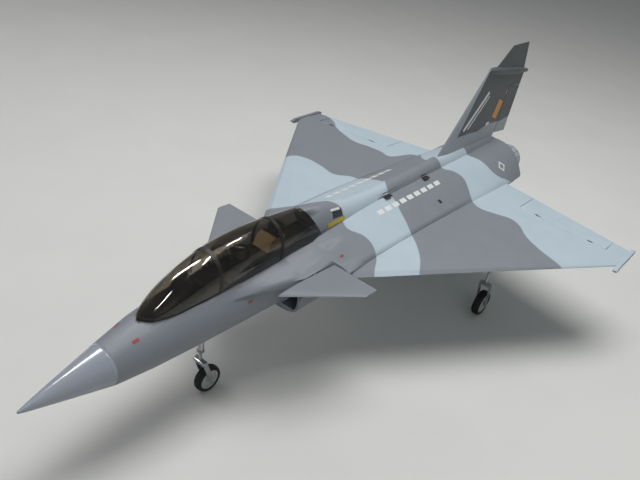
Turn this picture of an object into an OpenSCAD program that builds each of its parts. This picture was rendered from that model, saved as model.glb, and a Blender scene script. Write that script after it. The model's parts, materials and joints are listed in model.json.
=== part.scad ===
// Foam ducted-fan jet model with a delta wing, all-moving canards and fixed tricycle gear.
// Geometry is written from two datums: stations run aft from the nose tip, heights from the wing plane.
// on_wheels() then sets the model on the ground, with its nose towards -Y and its left side towards +X.

/* [Body] */
// Length of the nose cone
nose_len = 113; // [95:1:125]
// Radius of the nose cone at its joint
nose_r = 29.2; // [25:0.1:32]
// Depth of the nose tip below the wing plane
nose_drop = 23.5; // [18:0.5:26]
// Depth of the nose joint's centre below the wing plane
nose_joint_drop = 19.4; // [17:0.1:22]
// Station where the front and centre bodies join, at the intake mouths
joint_s = 395; // [385:1:405]
// Half-width of the body at the wing root joint
root_x = 94; // [90:1:100]
// Depth of the belly below the wing plane
belly = 52; // [48:0.5:58]
// Station of the body's rear face
tail_s = 1095; // [1085:1:1105]
// Depth of the intake lip from edge to mouth
lip = 4; // [3:0.5:6]
// Foam left under the battery bay
bay_floor = 14; // [10:0.5:18]
// Half-width of the battery bay
bay_x = 20; // [17:0.5:21]
// Station of the bay's front wall
bay_front = 205; // [200:1:215]

/* [Canopy] */
// Station of the canopy's front point
canopy_front = 161; // [155:1:166]
// Station of the canopy's rear foot
canopy_rear = 488; // [480:1:496]
// Height of the sill at the front
sill_front = 24; // [21:0.5:26]
// Height of the sill at the rear
sill_rear = 34; // [31:0.5:38]
// Lean of the rear arch from upright
arch_lean = 33; // [25:1:40]
// Thickness of the clear canopy
glass_t = 1.2; // [0.8:0.1:2]
// Thickness of the hatch tray
tray_t = 3; // [2:0.5:5]
// Gap all round the lift-off hatch
hatch_gap = 0.4; // [0.3:0.05:0.8]
// Radius of the pilot's helmet
helmet_r = 15; // [12:0.5:17]
// Station of the pilot
pilot_s = 332; // [320:1:345]

/* [Wing] */
// Distance between the centres of the tip rails
span = 750; // [720:5:800]
// Station of the leading edge at the root joint
root_le = 475; // [470:1:485]
// Chord at the root joint
root_chord = 533; // [525:1:535]
// Thickness at the root joint
root_thick = 24; // [20:0.5:27]
// Station of the leading edge at the tip
tip_le = 878; // [865:1:885]
// Chord at the tip
tip_chord = 73; // [66:1:80]
// Thickness at the tip
tip_thick = 6; // [5:0.25:8]
// Half thickness left at trailing edges
edge_half = 0.7; // [0.5:0.05:1]
// Width of a tip rail
rail_w = 7; // [5:0.5:9]
// Depth of a tip rail
rail_h = 9; // [8:0.5:12]
// Length of a tip rail
rail_len = 102; // [90:1:115]
// Radius of a spar tube
spar_r = 2; // [1.5:0.1:2.4]
// Reach of a spar tube into the wing
spar_reach = 110; // [80:1:120]
// Station of the front spar tube
front_spar_s = 720; // [700:1:740]
// Station of the rear spar tube
rear_spar_s = 880; // [865:1:890]

/* [Control surfaces] */
// Inboard end of the elevon, from the centreline
elevon_in = 161; // [150:1:175]
// Outboard end of the elevon, from the centreline
elevon_out = 339; // [325:1:350]
// Station of the elevon hinge at its inboard end
elevon_hinge_in = 930; // [924:1:936]
// Station of the elevon hinge at its outboard end
elevon_hinge_out = 916; // [912:1:920]
// Gap round a control surface
surface_gap = 1.2; // [0.8:0.1:2]
// Radius of the control horns and servo arms
horn_r = 12; // [9:0.5:14]
// Distance from the elevon hinge forward to its servo shaft
elevon_link = 58; // [50:1:66]
// Length of the rudder along its hinge
rudder_h = 104; // [90:1:110]
// Distance from the rudder hinge forward to its servo shaft
rudder_link = 62; // [54:1:70]
// Radius of a hinge pin
pin_r = 0.75; // [0.6:0.05:0.9]
// Running clearance of pins and shafts in their bores
run = 0.05; // [0.02:0.01:0.1]

/* [Canards] */
// Height of the canards over the wing plane
canard_z = 19; // [17:0.5:21]
// Canard root rib, from the centreline
canard_root = 74; // [72:0.5:80]
// Canard tip, from the centreline
canard_tip = 155; // [140:1:170]
// Station of the canard pivot
canard_s = 417; // [412:1:424]
// Radius of the canard shaft
shaft_r = 2; // [1.5:0.1:2.5]
// Distance from the canard pivot aft to its servo shaft
canard_link = 36; // [30:1:40]

/* [Fin] */
// Station of the fin's leading edge at the spine
fin_le = 855; // [840:1:865]
// Thickness of the fin at its root
fin_thick = 12; // [10:0.5:14]
// Station of the rudder hinge at its foot
rudder_s = 1086; // [1080:1:1092]
// Height of the rudder's foot
rudder_z = 62; // [58:0.5:68]
// Station of the front of the fairing on the fin
pod_s = 988; // [975:1:1000]
// Height of the fairing's axis at its front
pod_z = 213; // [205:1:220]
// Length of the fairing on the fin
pod_len = 186; // [170:1:195]
// Radius of the fairing on the fin
pod_r = 8; // [6.5:0.5:9.5]
// Height of the fin's top
fin_top = 252; // [245:1:262]

/* [Ducted fans] */
// Fan axis from the centreline
fan_x = 37; // [36:0.5:38]
// Height of the fan axis
fan_z = -8; // [-10:0.5:-6]
// Station of the shroud's front lip
fan_s = 782; // [770:1:790]
// Length of the fan shroud
fan_len = 60; // [54:1:66]
// Inner radius of the fan shroud
fan_r = 32.3; // [31:0.1:32.5]
// Wall of the fan shroud
fan_wall = 2.2; // [1.5:0.1:2.5]
// Gap from the blade tips to the shroud
tip_gap = 0.5; // [0.4:0.05:0.8]
// Radius of the rotor hub
hub_r = 15; // [13:0.25:16]
// Number of rotor blades
blades = 10; // [6:1:12]
// Number of stator vanes
vanes = 5; // [3:1:7]
// Radius of the fan motor
motor_r = 14; // [12:0.25:14.5]
// Length of the fan motor
motor_len = 38; // [30:1:42]
// Height of the nozzle's centre at its exit
nozzle_z = 9; // [6:0.5:12]
// Station of the nozzle exit
nozzle_s = 1120; // [1112:1:1128]
// Outer radius of the nozzle at the body
nozzle_r = 31; // [30:0.25:32]
// Wall of the nozzle and its tail pipe
pipe_wall = 1; // [0.8:0.1:1.5]

/* [Landing gear] */
// Height of the wing plane over the ground
stance = 174; // [168:1:185]
// Station of the nose leg's steering axis
nose_leg_s = 270; // [262:1:278]
// How far the nose wheel trails its leg
trail = 16; // [10:1:20]
// Radius of the nose wheel
nose_wheel_r = 22; // [20:0.5:24]
// Station of the main legs
main_s = 795; // [788:1:805]
// Main legs, from the centreline
main_x = 190; // [180:1:196]
// Radius of a main wheel
main_wheel_r = 25; // [22:0.5:27]
// Width of the tyres
tyre_w = 15; // [12:0.5:17]
// Radius of the leg rods
leg_r = 2.5; // [2:0.1:3]
// Radius of the axles
axle_r = 1.5; // [1.2:0.1:2]
// Distance from the steering axis forward to its servo shaft
steer_link = 46; // [40:1:52]

/* [Hidden] */
$fn = 48;

// Colours
light_grey = "#b7c2c9";
mid_grey = "#8d9399";
dark_grey = "#5d6265";
black = "#1d1e20";
metal = "#b9bcc0";
nylon = "#e4e4df";

// Overall length, from the nose tip to the end of the fairing on the fin
pod_tilt = 7.9;
pod_end_r = pod_r * 0.5;
length = pod_s + pod_len * cos(pod_tilt) + pod_end_r * sin(pod_tilt);
// Reach of cutting shapes past the piece they cut
far = 300;

module on_wheels() translate([0, -length / 2, stance]) children();
module mirrored() mirror([1, 0, 0]) children();
module pair() {
  children();
  mirrored() children();
}
module along_x() rotate([0, 90, 0]) children();
module along_y() rotate([-90, 0, 0]) children();
// Profile of y and z drawn flat, extruded along x about the middle
module slab_x(t) translate([-t / 2, 0, 0]) rotate([90, 0, 90]) linear_extrude(t) children();
// Box between two corners
module box(low, high) translate(low) cube(high - low);

// Solid through a row of closed outlines that all have the same number of points
function middle(outline) =
  [for (k = [0:2]) [for (p = outline) p[k]] * [for (p = outline) 1] / len(outline)];
module loft(outlines) {
  n = len(outlines[0]);
  last = len(outlines) - 1;
  skin = [for (o = outlines, p = o) p];
  front = len(skin);
  sides = [
    for (k = [0:last - 1], i = [0:n - 1])
      let (a = k * n + i, b = k * n + (i + 1) % n) each [[a, b, b + n], [a, b + n, a + n]]
  ];
  caps = [
    for (i = [0:n - 1])
      each [[front, (i + 1) % n, i], [front + 1, last * n + i, last * n + (i + 1) % n]]
  ];
  polyhedron(concat(skin, [middle(outlines[0]), middle(outlines[last])]), concat(sides, caps), 4);
}

// Height share of a symmetrical foil at a share c of its chord, and the shares that its outline uses
function foil(c) = 5 * (0.2969 * sqrt(c) - 0.126 * c - 0.3516 * c ^ 2 + 0.2843 * c ^ 3 - 0.1036 * c ^ 4);
foil_steps = 9;
foil_shares = [for (i = [0:foil_steps]) (1 - cos(180 * i / foil_steps)) / 2];
// Outline of chord shares and signed heights, from the trailing edge along the underside and back
function foil_height(c, thick) = c == 0 ? 0 : max(edge_half, thick * foil(c));
function foil_outline(thick) = concat(
  [for (i = [foil_steps:-1:0]) [foil_shares[i], -foil_height(foil_shares[i], thick)]],
  [for (i = [1:foil_steps]) [foil_shares[i], foil_height(foil_shares[i], thick)]]
);
function flat_foil(x, le, chord, thick, z) =
  [for (p = foil_outline(thick)) [x, le + chord * p[0], z + p[1]]];
function upright_foil(z, le, chord, thick) =
  [for (p = foil_outline(thick)) [-p[1], le + chord * p[0], z]];

// Wing planform
tip_x = span / 2 - rail_w / 2;
function outward(x) = (x - root_x) / (tip_x - root_x);
function wing_le(x) = root_le + (tip_le - root_le) * outward(x);
function wing_chord(x) = root_chord + (tip_chord - root_chord) * outward(x);
function wing_thick(x) = root_thick + (tip_thick - root_thick) * outward(x);
function wing_half(x, s) =
  let (c = min(1, max(0, (s - wing_le(x)) / wing_chord(x)))) max(edge_half, wing_thick(x) * foil(c));

// Egg outline with its own exponents above and below its widest line
function power(v, n) = sign(v) * abs(v) ^ (2 / n);
egg_step = 10;
function egg(row, grow = 0, lean = 0) =
  let (s = row[0], w = row[1] + grow, mid = row[3], up = row[2] + grow - mid, down = mid - row[4] + grow)
  [
    for (a = [-90:egg_step:269])
      let (n = sin(a) > 0 ? row[5] : row[6], z = power(sin(a), n) * (sin(a) > 0 ? up : down))
        [w * power(cos(a), n), s - z * tan(lean), mid + z]
  ];

// Front body: station, half-width, top, widest height, bottom, exponents above and below
nose_tilt = atan((nose_drop - nose_joint_drop) / nose_len);
nose_row = [nose_len, nose_r, nose_r - nose_joint_drop, -nose_joint_drop, -nose_r - nose_joint_drop, 2, 2];
front_rows = [
  [canopy_front + 4, 37, sill_front - 1, -14, -belly + 1, 2.3, 2],
  [230, 42.5, sill_front + 13, -8, -belly + 0.5, 2.2, 2.1],
  [310, 45.5, sill_front + 19, -4, -belly + 0.2, 2, 2.2],
  [joint_s, 47, sill_front + 21, -2, -belly, 2, 2.3]
];
module front_form() loft(concat([egg(nose_row, 0, nose_tilt)], [for (r = front_rows) egg(r)]));

// Canopy and deck behind it: station, half-width, top, widest height
deck_depth = 35;
deck_rows = [
  [canopy_front, 4, sill_front + 0.5, 20],
  [172, 15, 33, 25],
  [190, 22, 46, 31],
  [212, 26.5, 60, 36],
  [251, 30.5, 78, 42],
  [300, 32.5, 91, 46],
  [350, 32.5, 93, 47],
  [400, 31, 89.5, 47],
  [456, 28, 85, 45],
  [500, 25, 79, 42],
  [540, 22.5, 69, 38],
  [580, 21, 60.5, 33],
  [640, 20, 58, 30],
  [760, 19, 61, 32],
  [fin_le, 18, 64, 34],
  [960, 18, 63, 34],
  [1060, 16, 59, 32],
  [tail_s - 3, 11, 52, 32]
];
// The lift-off hatch needs only the rows to just behind its rear foot
hatch_last = 9;
module deck_form(grow = 0, last = len(deck_rows) - 1)
  loft([
    for (i = [0:last])
      let (r = deck_rows[i]) egg([r[0], r[1], r[2], r[3], r[3] - deck_depth, 2, 2], grow)
  ]);
sill_rise = (sill_rear - sill_front) / (canopy_rear - canopy_front);
function sill(s) = sill_front + sill_rise * (s - canopy_front);
// Room of the lift-off hatch: over the sill and ahead of the rear arch
module hatch_room(gap = 0) {
  front_s = canopy_front - 20;
  slab_x(2 * far)
    polygon([
      [front_s, sill(front_s) + gap],
      [canopy_rear - gap, sill_rear + gap],
      [canopy_rear - gap - far * tan(arch_lean), sill_rear + far],
      [front_s, sill_rear + far]
    ]);
}

// Canard planform
canard_le = 338;
canard_te = 461;
canard_tip_le = 435;
canard_thick = 8;
canard_tip_thick = 3;
bush_r = 4;
// Shelf beside the canopy, level with the canards' upper face
shelf_z = canard_z + bush_r + 0.6;
shelf_out = canard_root - 0.6;

// Centre body: station, half-width, ridge height, shoulder exponent,
// lower half-width, belly, top and foot of the side
function root_half(s) = max(4, wing_half(root_x, s));
trunk_rows = [
  [joint_s, shelf_out, 49, 0.8, 69, -belly, shelf_z, -14],
  [canard_te, shelf_out, 50, 0.8, 69, -belly, shelf_z, -13],
  [root_le - 1, root_x, 50, 1.25, 69, -belly, 9, -10],
  [520, root_x, 50, 1.15, 68, -belly, root_half(520), -root_half(520)],
  [600, root_x, 51, 1.05, 67, -belly, root_half(600), -root_half(600)],
  [700, root_x, 52, 1.05, 68, -belly, root_half(700), -root_half(700)],
  [fan_s, root_x, 53, 1.1, 73, -belly, root_half(fan_s), -root_half(fan_s)],
  [fan_s + 90, root_x, 53, 1.3, 73, -belly + 2, root_half(fan_s + 90), -root_half(fan_s + 90)],
  [960, root_x, 52, 1.6, 72, -belly + 9, 3, -5],
  [root_le + root_chord, root_x, 51, 2, 72, -belly + 16, 0, -7],
  [1050, 90, 50, 2.6, 72, -belly + 22, -4, -10],
  [tail_s, 86, 49, 3.2, 71, -belly + 26, -7, -12]
];
trunk_round = 5;
function trunk_half(row) =
  let (
    s = row[0], w = row[1], ridge = row[2], n = row[3],
    wb = row[4], bot = row[5], hi = row[6], lo = row[7],
    zl = lo - trunk_round
  )
  concat(
    [for (t = [0:15:90]) [wb * sqrt(sin(t)), s, zl + (bot - zl) * sqrt(cos(t))]],
    [[wb + 4, s, lo - 1.5], [w, s, lo], [w, s, hi]],
    [for (f = [0.9:-0.1:0.05]) [w * f, s, hi + (ridge - hi) * (1 - f ^ n)]]
  );
function trunk(row) =
  let (half = trunk_half(row), n = len(half))
  concat(half, [[0, row[0], row[2]]], [for (i = [n - 1:-1:1]) [-half[i][0], half[i][1], half[i][2]]]);
// The intake body ends at the third row, where the wings begin
trunk_split = 2;
trunk_last = len(trunk_rows) - 1;
module trunk_form(first = 0, last = trunk_last) loft([for (i = [first:last]) trunk(trunk_rows[i])]);

// Intake mouth between the front body and the trunk's lip
bleed_gap = 3;
mouth_top = 6;
mouth_foot = -belly + 10;
mouth_depth = 45;
function front_half_at(z) =
  let (
    r = front_rows[len(front_rows) - 1],
    n = z > r[3] ? r[5] : r[6],
    reach = z > r[3] ? r[2] - r[3] : r[3] - r[4]
  )
  r[1] * (1 - abs((z - r[3]) / reach) ^ n) ^ (1 / n);
function trunk_half_at(z) =
  let (r = trunk_rows[0], zl = r[7] - trunk_round, v = max(0, (zl - z) / (zl - r[5])))
  r[4] * (1 - v ^ 4) ^ 0.25;
mouth_steps = [for (k = [0:8]) mouth_foot + (mouth_top - mouth_foot) * k / 8];
module mouth() polygon(concat(
  [for (z = mouth_steps) [trunk_half_at(z) - lip, z]],
  [for (k = [8:-1:0]) [front_half_at(mouth_steps[k]) + bleed_gap, mouth_steps[k]]]
));
module mouth_slice(t) translate([0, t, 0]) rotate([90, 0, 0]) linear_extrude(t) mouth();

// Fan and exhaust axes
exhaust_s = fan_s + fan_len;
exhaust_rise = atan((nozzle_z - fan_z) / (nozzle_s - exhaust_s));
exhaust_len = (nozzle_s - exhaust_s) / cos(exhaust_rise);
nozzle_len = 38;
pipe_len = exhaust_len - nozzle_len;
pipe_r1 = fan_r + 1;
pipe_r2 = nozzle_r - 2.5;
pipe_lap = 3;
module fan_axis() translate([fan_x, fan_s, fan_z]) along_y() children();
module exhaust_axis() translate([fan_x, exhaust_s, fan_z]) rotate([exhaust_rise - 90, 0, 0]) children();
module duct_cut() {
  translate([0, joint_s - 1, 0]) mouth_slice(mouth_depth + 1);
  hull() {
    translate([0, joint_s + mouth_depth - 1, 0]) mouth_slice(1);
    fan_axis() translate([0, 0, -1]) cylinder(r=fan_r, h=2, $fn=32);
  }
  fan_axis() cylinder(r=fan_r + fan_wall, h=fan_len);
  exhaust_axis() {
    translate([0, 0, -pipe_lap]) cylinder(r1=pipe_r1, r2=pipe_r2, h=pipe_len + pipe_lap);
    translate([0, 0, pipe_len]) cylinder(r=nozzle_r, h=nozzle_len + 1);
  }
}

// Battery bay and the seat of each thing in it
servo_l = 23;
servo_shaft_in = 6.5;
servo_w = 8;
servo_h = 17.4;
bay_rear = canard_s + canard_link + servo_l - servo_shaft_in + 0.3;
bay_z = -belly + bay_floor;
module bay_cut() box([-bay_x, bay_front, bay_z], [bay_x, bay_rear, sill_rear]);

// Control linkage drawn in its hinge's frame: x along the hinge, y aft, z up, horn below the hinge
horn_t = 1.8;
servo_drop = -2.5;
wire_r = 1;
wire_side = horn_t + 1.5;
module link_servo(x0, d, h) {
  front = -d - servo_shaft_in;
  box([x0 - 0.6 - servo_h, front, h - servo_w / 2], [x0 - 0.6, front + servo_l, h + servo_w / 2]);
  translate([x0 - 0.7, -d, h]) along_x() cylinder(r=1.5, h=horn_t + 1.2);
}
module servo_pocket(x0, d, h) {
  front = -d - servo_shaft_in;
  box(
    [x0 - 0.8 - servo_h, front - 0.2, h - servo_w / 2 - far],
    [x0 - 0.4, front + servo_l + 0.2, h + servo_w / 2 + 0.2]
  );
  box([x0 - 0.5, -d - horn_r + 2, h - far], [x0 + wire_side + 2, -d + horn_r - 2, h + 4]);
}
module link_arm(x0, d, h) {
  translate([x0 + horn_t / 2, -d, h])
    slab_x(horn_t)
      difference() {
        union() {
          circle(r=2.8);
          translate([-1.6, -horn_r]) square([3.2, horn_r]);
          translate([0, -horn_r]) circle(r=2);
        }
        circle(r=1.5 + run);
        translate([0, -horn_r]) circle(r=pin_r + run);
      }
}
module link_rod(x0, d, h) {
  over = 1.6;
  translate([x0 + wire_side, -d, h - horn_r]) {
    rotate([atan2(-d, -h), 0, 0]) translate([0, 0, -over]) cylinder(r=wire_r, h=norm([d, h]) + 2 * over);
    for (end = [[0, 0], [d, -h]])
      translate([-wire_side - 0.3, end[0], end[1]]) along_x() cylinder(r=pin_r, h=wire_side + 0.6);
  }
}
// Horn plate whose hole lies straight below the hinge; its tang goes into the surface behind the hinge
horn_back = 5;
horn_base = 13;
horn_skin = 0.4;
module horn_slot(x0) box([x0, horn_back, -far], [x0 + horn_t, horn_back + horn_base, -horn_skin]);
module link_horn(x0, sink) {
  translate([x0 + horn_t / 2, 0, 0])
    slab_x(horn_t)
      difference() {
        polygon([
          [-2.4, -horn_r - 1.2], [0, -horn_r - 2.6], [2.6, -horn_r - 1.4],
          [horn_back + horn_base, -sink - 0.6], [horn_back + horn_base, -horn_skin],
          [horn_back, -horn_skin], [horn_back, -sink - 1.2], [-2.4, -horn_r + 1.6]
        ]);
        translate([0, -horn_r]) circle(r=pin_r + run);
      }
}

// Pinned hinge in the same frame: a fixed leaf with the middle knuckle,
// and a moving leaf with two knuckles and the pin
knuckle_r = 2;
knuckle_w = 4;
leaf_w = 9;
leaf_l = 12;
leaf_t = 1;
notch = knuckle_r + 1;
module hinge_fixed(x0) translate([x0, 0, 0]) difference() {
  union() {
    translate([-knuckle_w / 2, 0, 0]) along_x() cylinder(r=knuckle_r, h=knuckle_w);
    box([-knuckle_w / 2, -notch - 0.5, -leaf_t / 2], [knuckle_w / 2, 0, leaf_t / 2]);
    box([-leaf_w / 2, -leaf_l, -leaf_t / 2], [leaf_w / 2, -notch, leaf_t / 2]);
  }
  translate([-knuckle_w, 0, 0]) along_x() cylinder(r=pin_r + run, h=2 * knuckle_w);
}
module hinge_moving(x0) translate([x0, 0, 0]) {
  for (side = [-1, 1]) {
    low = side > 0 ? knuckle_w / 2 + 0.3 : -leaf_w / 2 - 0.3;
    translate([low, 0, 0]) along_x() cylinder(r=knuckle_r, h=leaf_w / 2 - knuckle_w / 2);
    box([low, 0, -leaf_t / 2], [low + leaf_w / 2 - knuckle_w / 2, notch + 0.5, leaf_t / 2]);
  }
  translate([-leaf_w / 2, 0, 0]) along_x() cylinder(r=pin_r, h=leaf_w);
  box([-leaf_w / 2 - 0.3, notch, -leaf_t / 2], [leaf_w / 2 + 0.3, leaf_l, leaf_t / 2]);
}
module hinge_seat(x0, side) translate([x0, 0, 0]) {
  box([-leaf_w / 2 - 1, -notch, -far], [leaf_w / 2 + 1, notch, far]);
  reach = side * leaf_l;
  slot = leaf_w / 2 + 0.3;
  box([-slot, min(0, reach), -leaf_t / 2], [slot, max(0, reach), leaf_t / 2]);
}
// Room swept clear ahead of a bevelled hinge nose, which leans back above and below the hinge
surface_bevel = 30;
module nose_bevel(x_low, x_high) {
  back = far * tan(surface_bevel);
  translate([(x_low + x_high) / 2, 0, 0])
    slab_x(x_high - x_low) polygon([[-far, -far], [back, -far], [0, 0], [back, far], [-far, far]]);
}

// Elevon hinge frame on the left wing
elevon_yaw = atan2(elevon_hinge_out - elevon_hinge_in, elevon_out - elevon_in);
elevon_len = (elevon_out - elevon_in) / cos(elevon_yaw);
elevon_horn_x = elevon_len * 0.5;
elevon_hinge_x = [elevon_len * 0.22, elevon_len * 0.82];
module elevon_frame() translate([elevon_in, elevon_hinge_in, 0]) rotate([0, 0, elevon_yaw]) children();
function elevon_hinge_s(x) = elevon_hinge_in + (x - elevon_in) * tan(elevon_yaw);
elevon_mid = (elevon_in + elevon_out) / 2;
elevon_half = wing_half(elevon_mid, elevon_hinge_s(elevon_mid) + horn_back);
module elevon_plan(inset) linear_extrude(2 * far, center=true)
  polygon([
    [elevon_in + inset, elevon_hinge_s(elevon_in + inset) - surface_gap],
    [elevon_out - inset, elevon_hinge_s(elevon_out - inset) - surface_gap],
    [elevon_out - inset, tail_s + far],
    [elevon_in + inset, tail_s + far]
  ]);

// Rudder hinge frame: x up the hinge, y aft
rudder_rake = 7.6;
module rudder_frame() multmatrix([
  [0, 0, -1, 0],
  [sin(rudder_rake), cos(rudder_rake), 0, rudder_s],
  [cos(rudder_rake), -sin(rudder_rake), 0, rudder_z],
  [0, 0, 0, 1]
]) children();
rudder_horn_x = 34;
rudder_hinge_x = [14, rudder_h - 14];

// Steering frame: x down the leg, y aft
steer_plane = 6;
module steer_frame() multmatrix([
  [0, 0, 1, 0],
  [0, 1, 0, nose_leg_s],
  [-1, 0, 0, -belly],
  [0, 0, 0, 1]
]) children();

// Canard frame: x along the shaft to the left, y aft
crank_x = 4;
module canard_frame() translate([0, canard_s, canard_z]) children();

// Fin planform in side view
fin_foot = 46;
fin_sweep = 41.3;
rudder_chord = 58;
fin_tip_thick = 7;
function fin_front(z) = fin_le + (z - deck_rows[14][2]) * tan(fin_sweep);
function fin_rear(z) = rudder_s + rudder_chord + (z - rudder_z) * tan(rudder_rake);
function fin_wide(z) = fin_thick + (fin_tip_thick - fin_thick) * (z - fin_foot) / (pod_z - fin_foot);
function fin_chord(z) = fin_rear(z) - fin_front(z);
module fin_form()
  loft([for (z = [fin_foot, pod_z]) upright_foil(z, fin_front(z), fin_chord(z), fin_wide(z))]);
rudder_horn_z = rudder_z + rudder_horn_x;
rudder_horn_s = rudder_s + rudder_horn_x * tan(rudder_rake) + horn_back;
rudder_half =
  fin_wide(rudder_horn_z) * foil((rudder_horn_s - fin_front(rudder_horn_z)) / fin_chord(rudder_horn_z));
pod_nose = 42;
pod_tail = 52;
module pod_axis() translate([0, pod_s, pod_z]) rotate([-90 - pod_tilt, 0, 0]) children();
module pod() pod_axis() rotate_extrude() polygon(concat(
  [[0, 0]],
  [for (k = [1:6]) [pod_r * sin(15 * k), pod_nose * (1 - cos(15 * k))]],
  [[pod_r, pod_len - pod_tail], [pod_end_r, pod_len], [0, pod_len]]
));
function pod_height(s) = pod_z - (s - pod_s) * tan(pod_tilt);
module over_pod() {
  low_s = pod_s - far;
  high_s = length + far;
  top = pod_z + far;
  slab_x(2 * far)
    polygon([[low_s, pod_height(low_s)], [high_s, pod_height(high_s)], [high_s, top], [low_s, top]]);
}

// Landing gear places
main_skin = wing_half(main_x, main_s);
mount_x = 12;
mount_y = 16;
mount_t = 9;
mount_proud = 2;
spigot = 8;
nose_axle_z = nose_wheel_r - stance;
main_axle_z = main_wheel_r - stance;
main_trail = 6;
fork_x = tyre_w / 2 + 2.5;
fork_t = 2;
module gear_mount() difference() {
  box([-mount_x, -mount_y, -mount_proud], [mount_x, mount_y, mount_t]);
  translate([0, 0, -mount_proud - 1]) cylinder(r=leg_r + run, h=mount_proud + spigot + 1);
}
// Leg from its mount face at z = 0 down to an axle at axle_z, trailing by back
module gear_leg(axle_z, wheel_r, back) {
  crown_z = axle_z + wheel_r + 22;
  sleeve_end = crown_z * 0.62;
  translate([0, 0, crown_z]) cylinder(r=leg_r, h=spigot - 0.5 - crown_z);
  translate([0, 0, sleeve_end]) cylinder(r=leg_r + 2, h=-sleeve_end - mount_proud - 1);
  translate([0, 0, sleeve_end - 3]) cylinder(r=leg_r + 3, h=3);
  box([-fork_x - fork_t / 2, -4, crown_z - 4], [fork_x + fork_t / 2, 4, crown_z + 2]);
  for (side = [-1, 1])
    translate([side * fork_x, 0, 0])
      slab_x(fork_t) {
        polygon([
          [-4, crown_z], [4, crown_z], [back + 4, axle_z + 2],
          [back + 2, axle_z - 4], [back - 2, axle_z - 4], [back - 4, axle_z + 2]
        ]);
      }
  translate([-fork_x - fork_t, back, axle_z]) along_x() cylinder(r=axle_r, h=2 * (fork_x + fork_t));
}
rim_share = 0.72;
module wheel_disc(r) {
  rim = rim_share * r;
  half = [
    [axle_r + run, 0.45], [axle_r + 3, 0.45], [axle_r + 3.6, 0.25],
    [rim - 3, 0.2], [rim - 2, 0.4], [rim, 0.4]
  ];
  last = len(half) - 1;
  along_x() rotate_extrude() polygon(concat(
    [for (p = half) [p[0], -tyre_w * p[1]]],
    [for (i = [last:-1:0]) [half[i][0], tyre_w * half[i][1]]]
  ));
}
module tyre_ring(r) along_x() rotate_extrude() polygon(concat(
  [[rim_share * r, -tyre_w * 0.42]],
  [for (a = [-75:15:75]) [rim_share * r + (1 - rim_share) * r * sqrt(cos(a)), tyre_w / 2 * sin(a)]],
  [[rim_share * r, tyre_w * 0.42]]
));

// Body pieces
module nose_cone() color(light_grey) on_wheels() {
  axis_len = nose_len / cos(nose_tilt);
  blunt = 1.5;
  translate([0, 0, -nose_drop])
    rotate([nose_tilt - 90, 0, 0]) {
      rotate_extrude() polygon(concat(
        [[0, 0], [blunt, 0.6]],
        [for (k = [1:10]) [blunt + (nose_r - blunt) * (k / 10) ^ 0.95, axis_len * k / 10]],
        [[0, axis_len]]
      ));
      translate([0, 0, axis_len - 1]) cylinder(r=plug_r, h=plug_len + 1);
    }
}
plug_r = 16;
plug_len = 12;
module nose_socket() translate([0, 0, -nose_drop]) rotate([nose_tilt - 90, 0, 0])
  translate([0, 0, nose_len / cos(nose_tilt) - 2]) cylinder(r=plug_r + run, h=plug_len + 2.3);
module steer_pocket() steer_frame() box(
  [steer_plane - 0.6 - servo_h - 0.2, -steer_link - servo_shaft_in - 0.2, servo_drop - servo_w / 2 - 0.2],
  [far, -steer_link - servo_shaft_in + servo_l + 0.2, servo_drop + servo_w / 2 + 0.2]
);
module nose_mount_place() translate([0, nose_leg_s, -belly]) children();
module main_mount_place() translate([main_x, main_s, -main_skin]) children();
module mount_pocket() box([-mount_x, -mount_y, -far], [mount_x, mount_y, mount_t]);
module hatch_cut() intersection() {
  deck_form(hatch_gap, hatch_last);
  hatch_room();
}
// Ledge that carries the hatch's front edge where the body falls away below it
module hatch_ledge() intersection() {
  deck_form(0, hatch_last);
  slab_x(2 * far)
    polygon([[canopy_front, 0], [joint_s, 0], [joint_s, sill(joint_s)], [canopy_front, sill_front]]);
}
module front_fuselage() color(mid_grey) on_wheels() difference() {
  union() {
    front_form();
    hatch_ledge();
  }
  hatch_cut();
  bay_cut();
  nose_socket();
  steer_pocket();
  nose_mount_place() mount_pocket();
}
bush_in = 50;
module canard_bore() canard_frame() {
  translate([-far, 0, 0]) along_x() cylinder(r=bush_r, h=far - bush_in);
  translate([bush_in, 0, 0]) along_x() cylinder(r=bush_r, h=far);
  translate([-bush_in - 1, 0, 0]) along_x() cylinder(r=shaft_r + 1, h=2 * bush_in + 2);
}
spar_sink = 18;
module spar_tubes(r, over = 0) for (s = [front_spar_s, rear_spar_s])
  translate([root_x - spar_sink - over, s, 0]) along_x() cylinder(r=r, h=spar_sink + spar_reach + 2 * over);
module intake_body() color(light_grey) on_wheels() difference() {
  trunk_form(0, trunk_split);
  hatch_cut();
  bay_cut();
  pair() duct_cut();
  canard_bore();
}
module centre_fuselage() color(light_grey) on_wheels() difference() {
  trunk_form(trunk_split, trunk_last);
  hatch_cut();
  pair() duct_cut();
  pair() spar_tubes(spar_r + run);
  fin_form();
}
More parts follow.
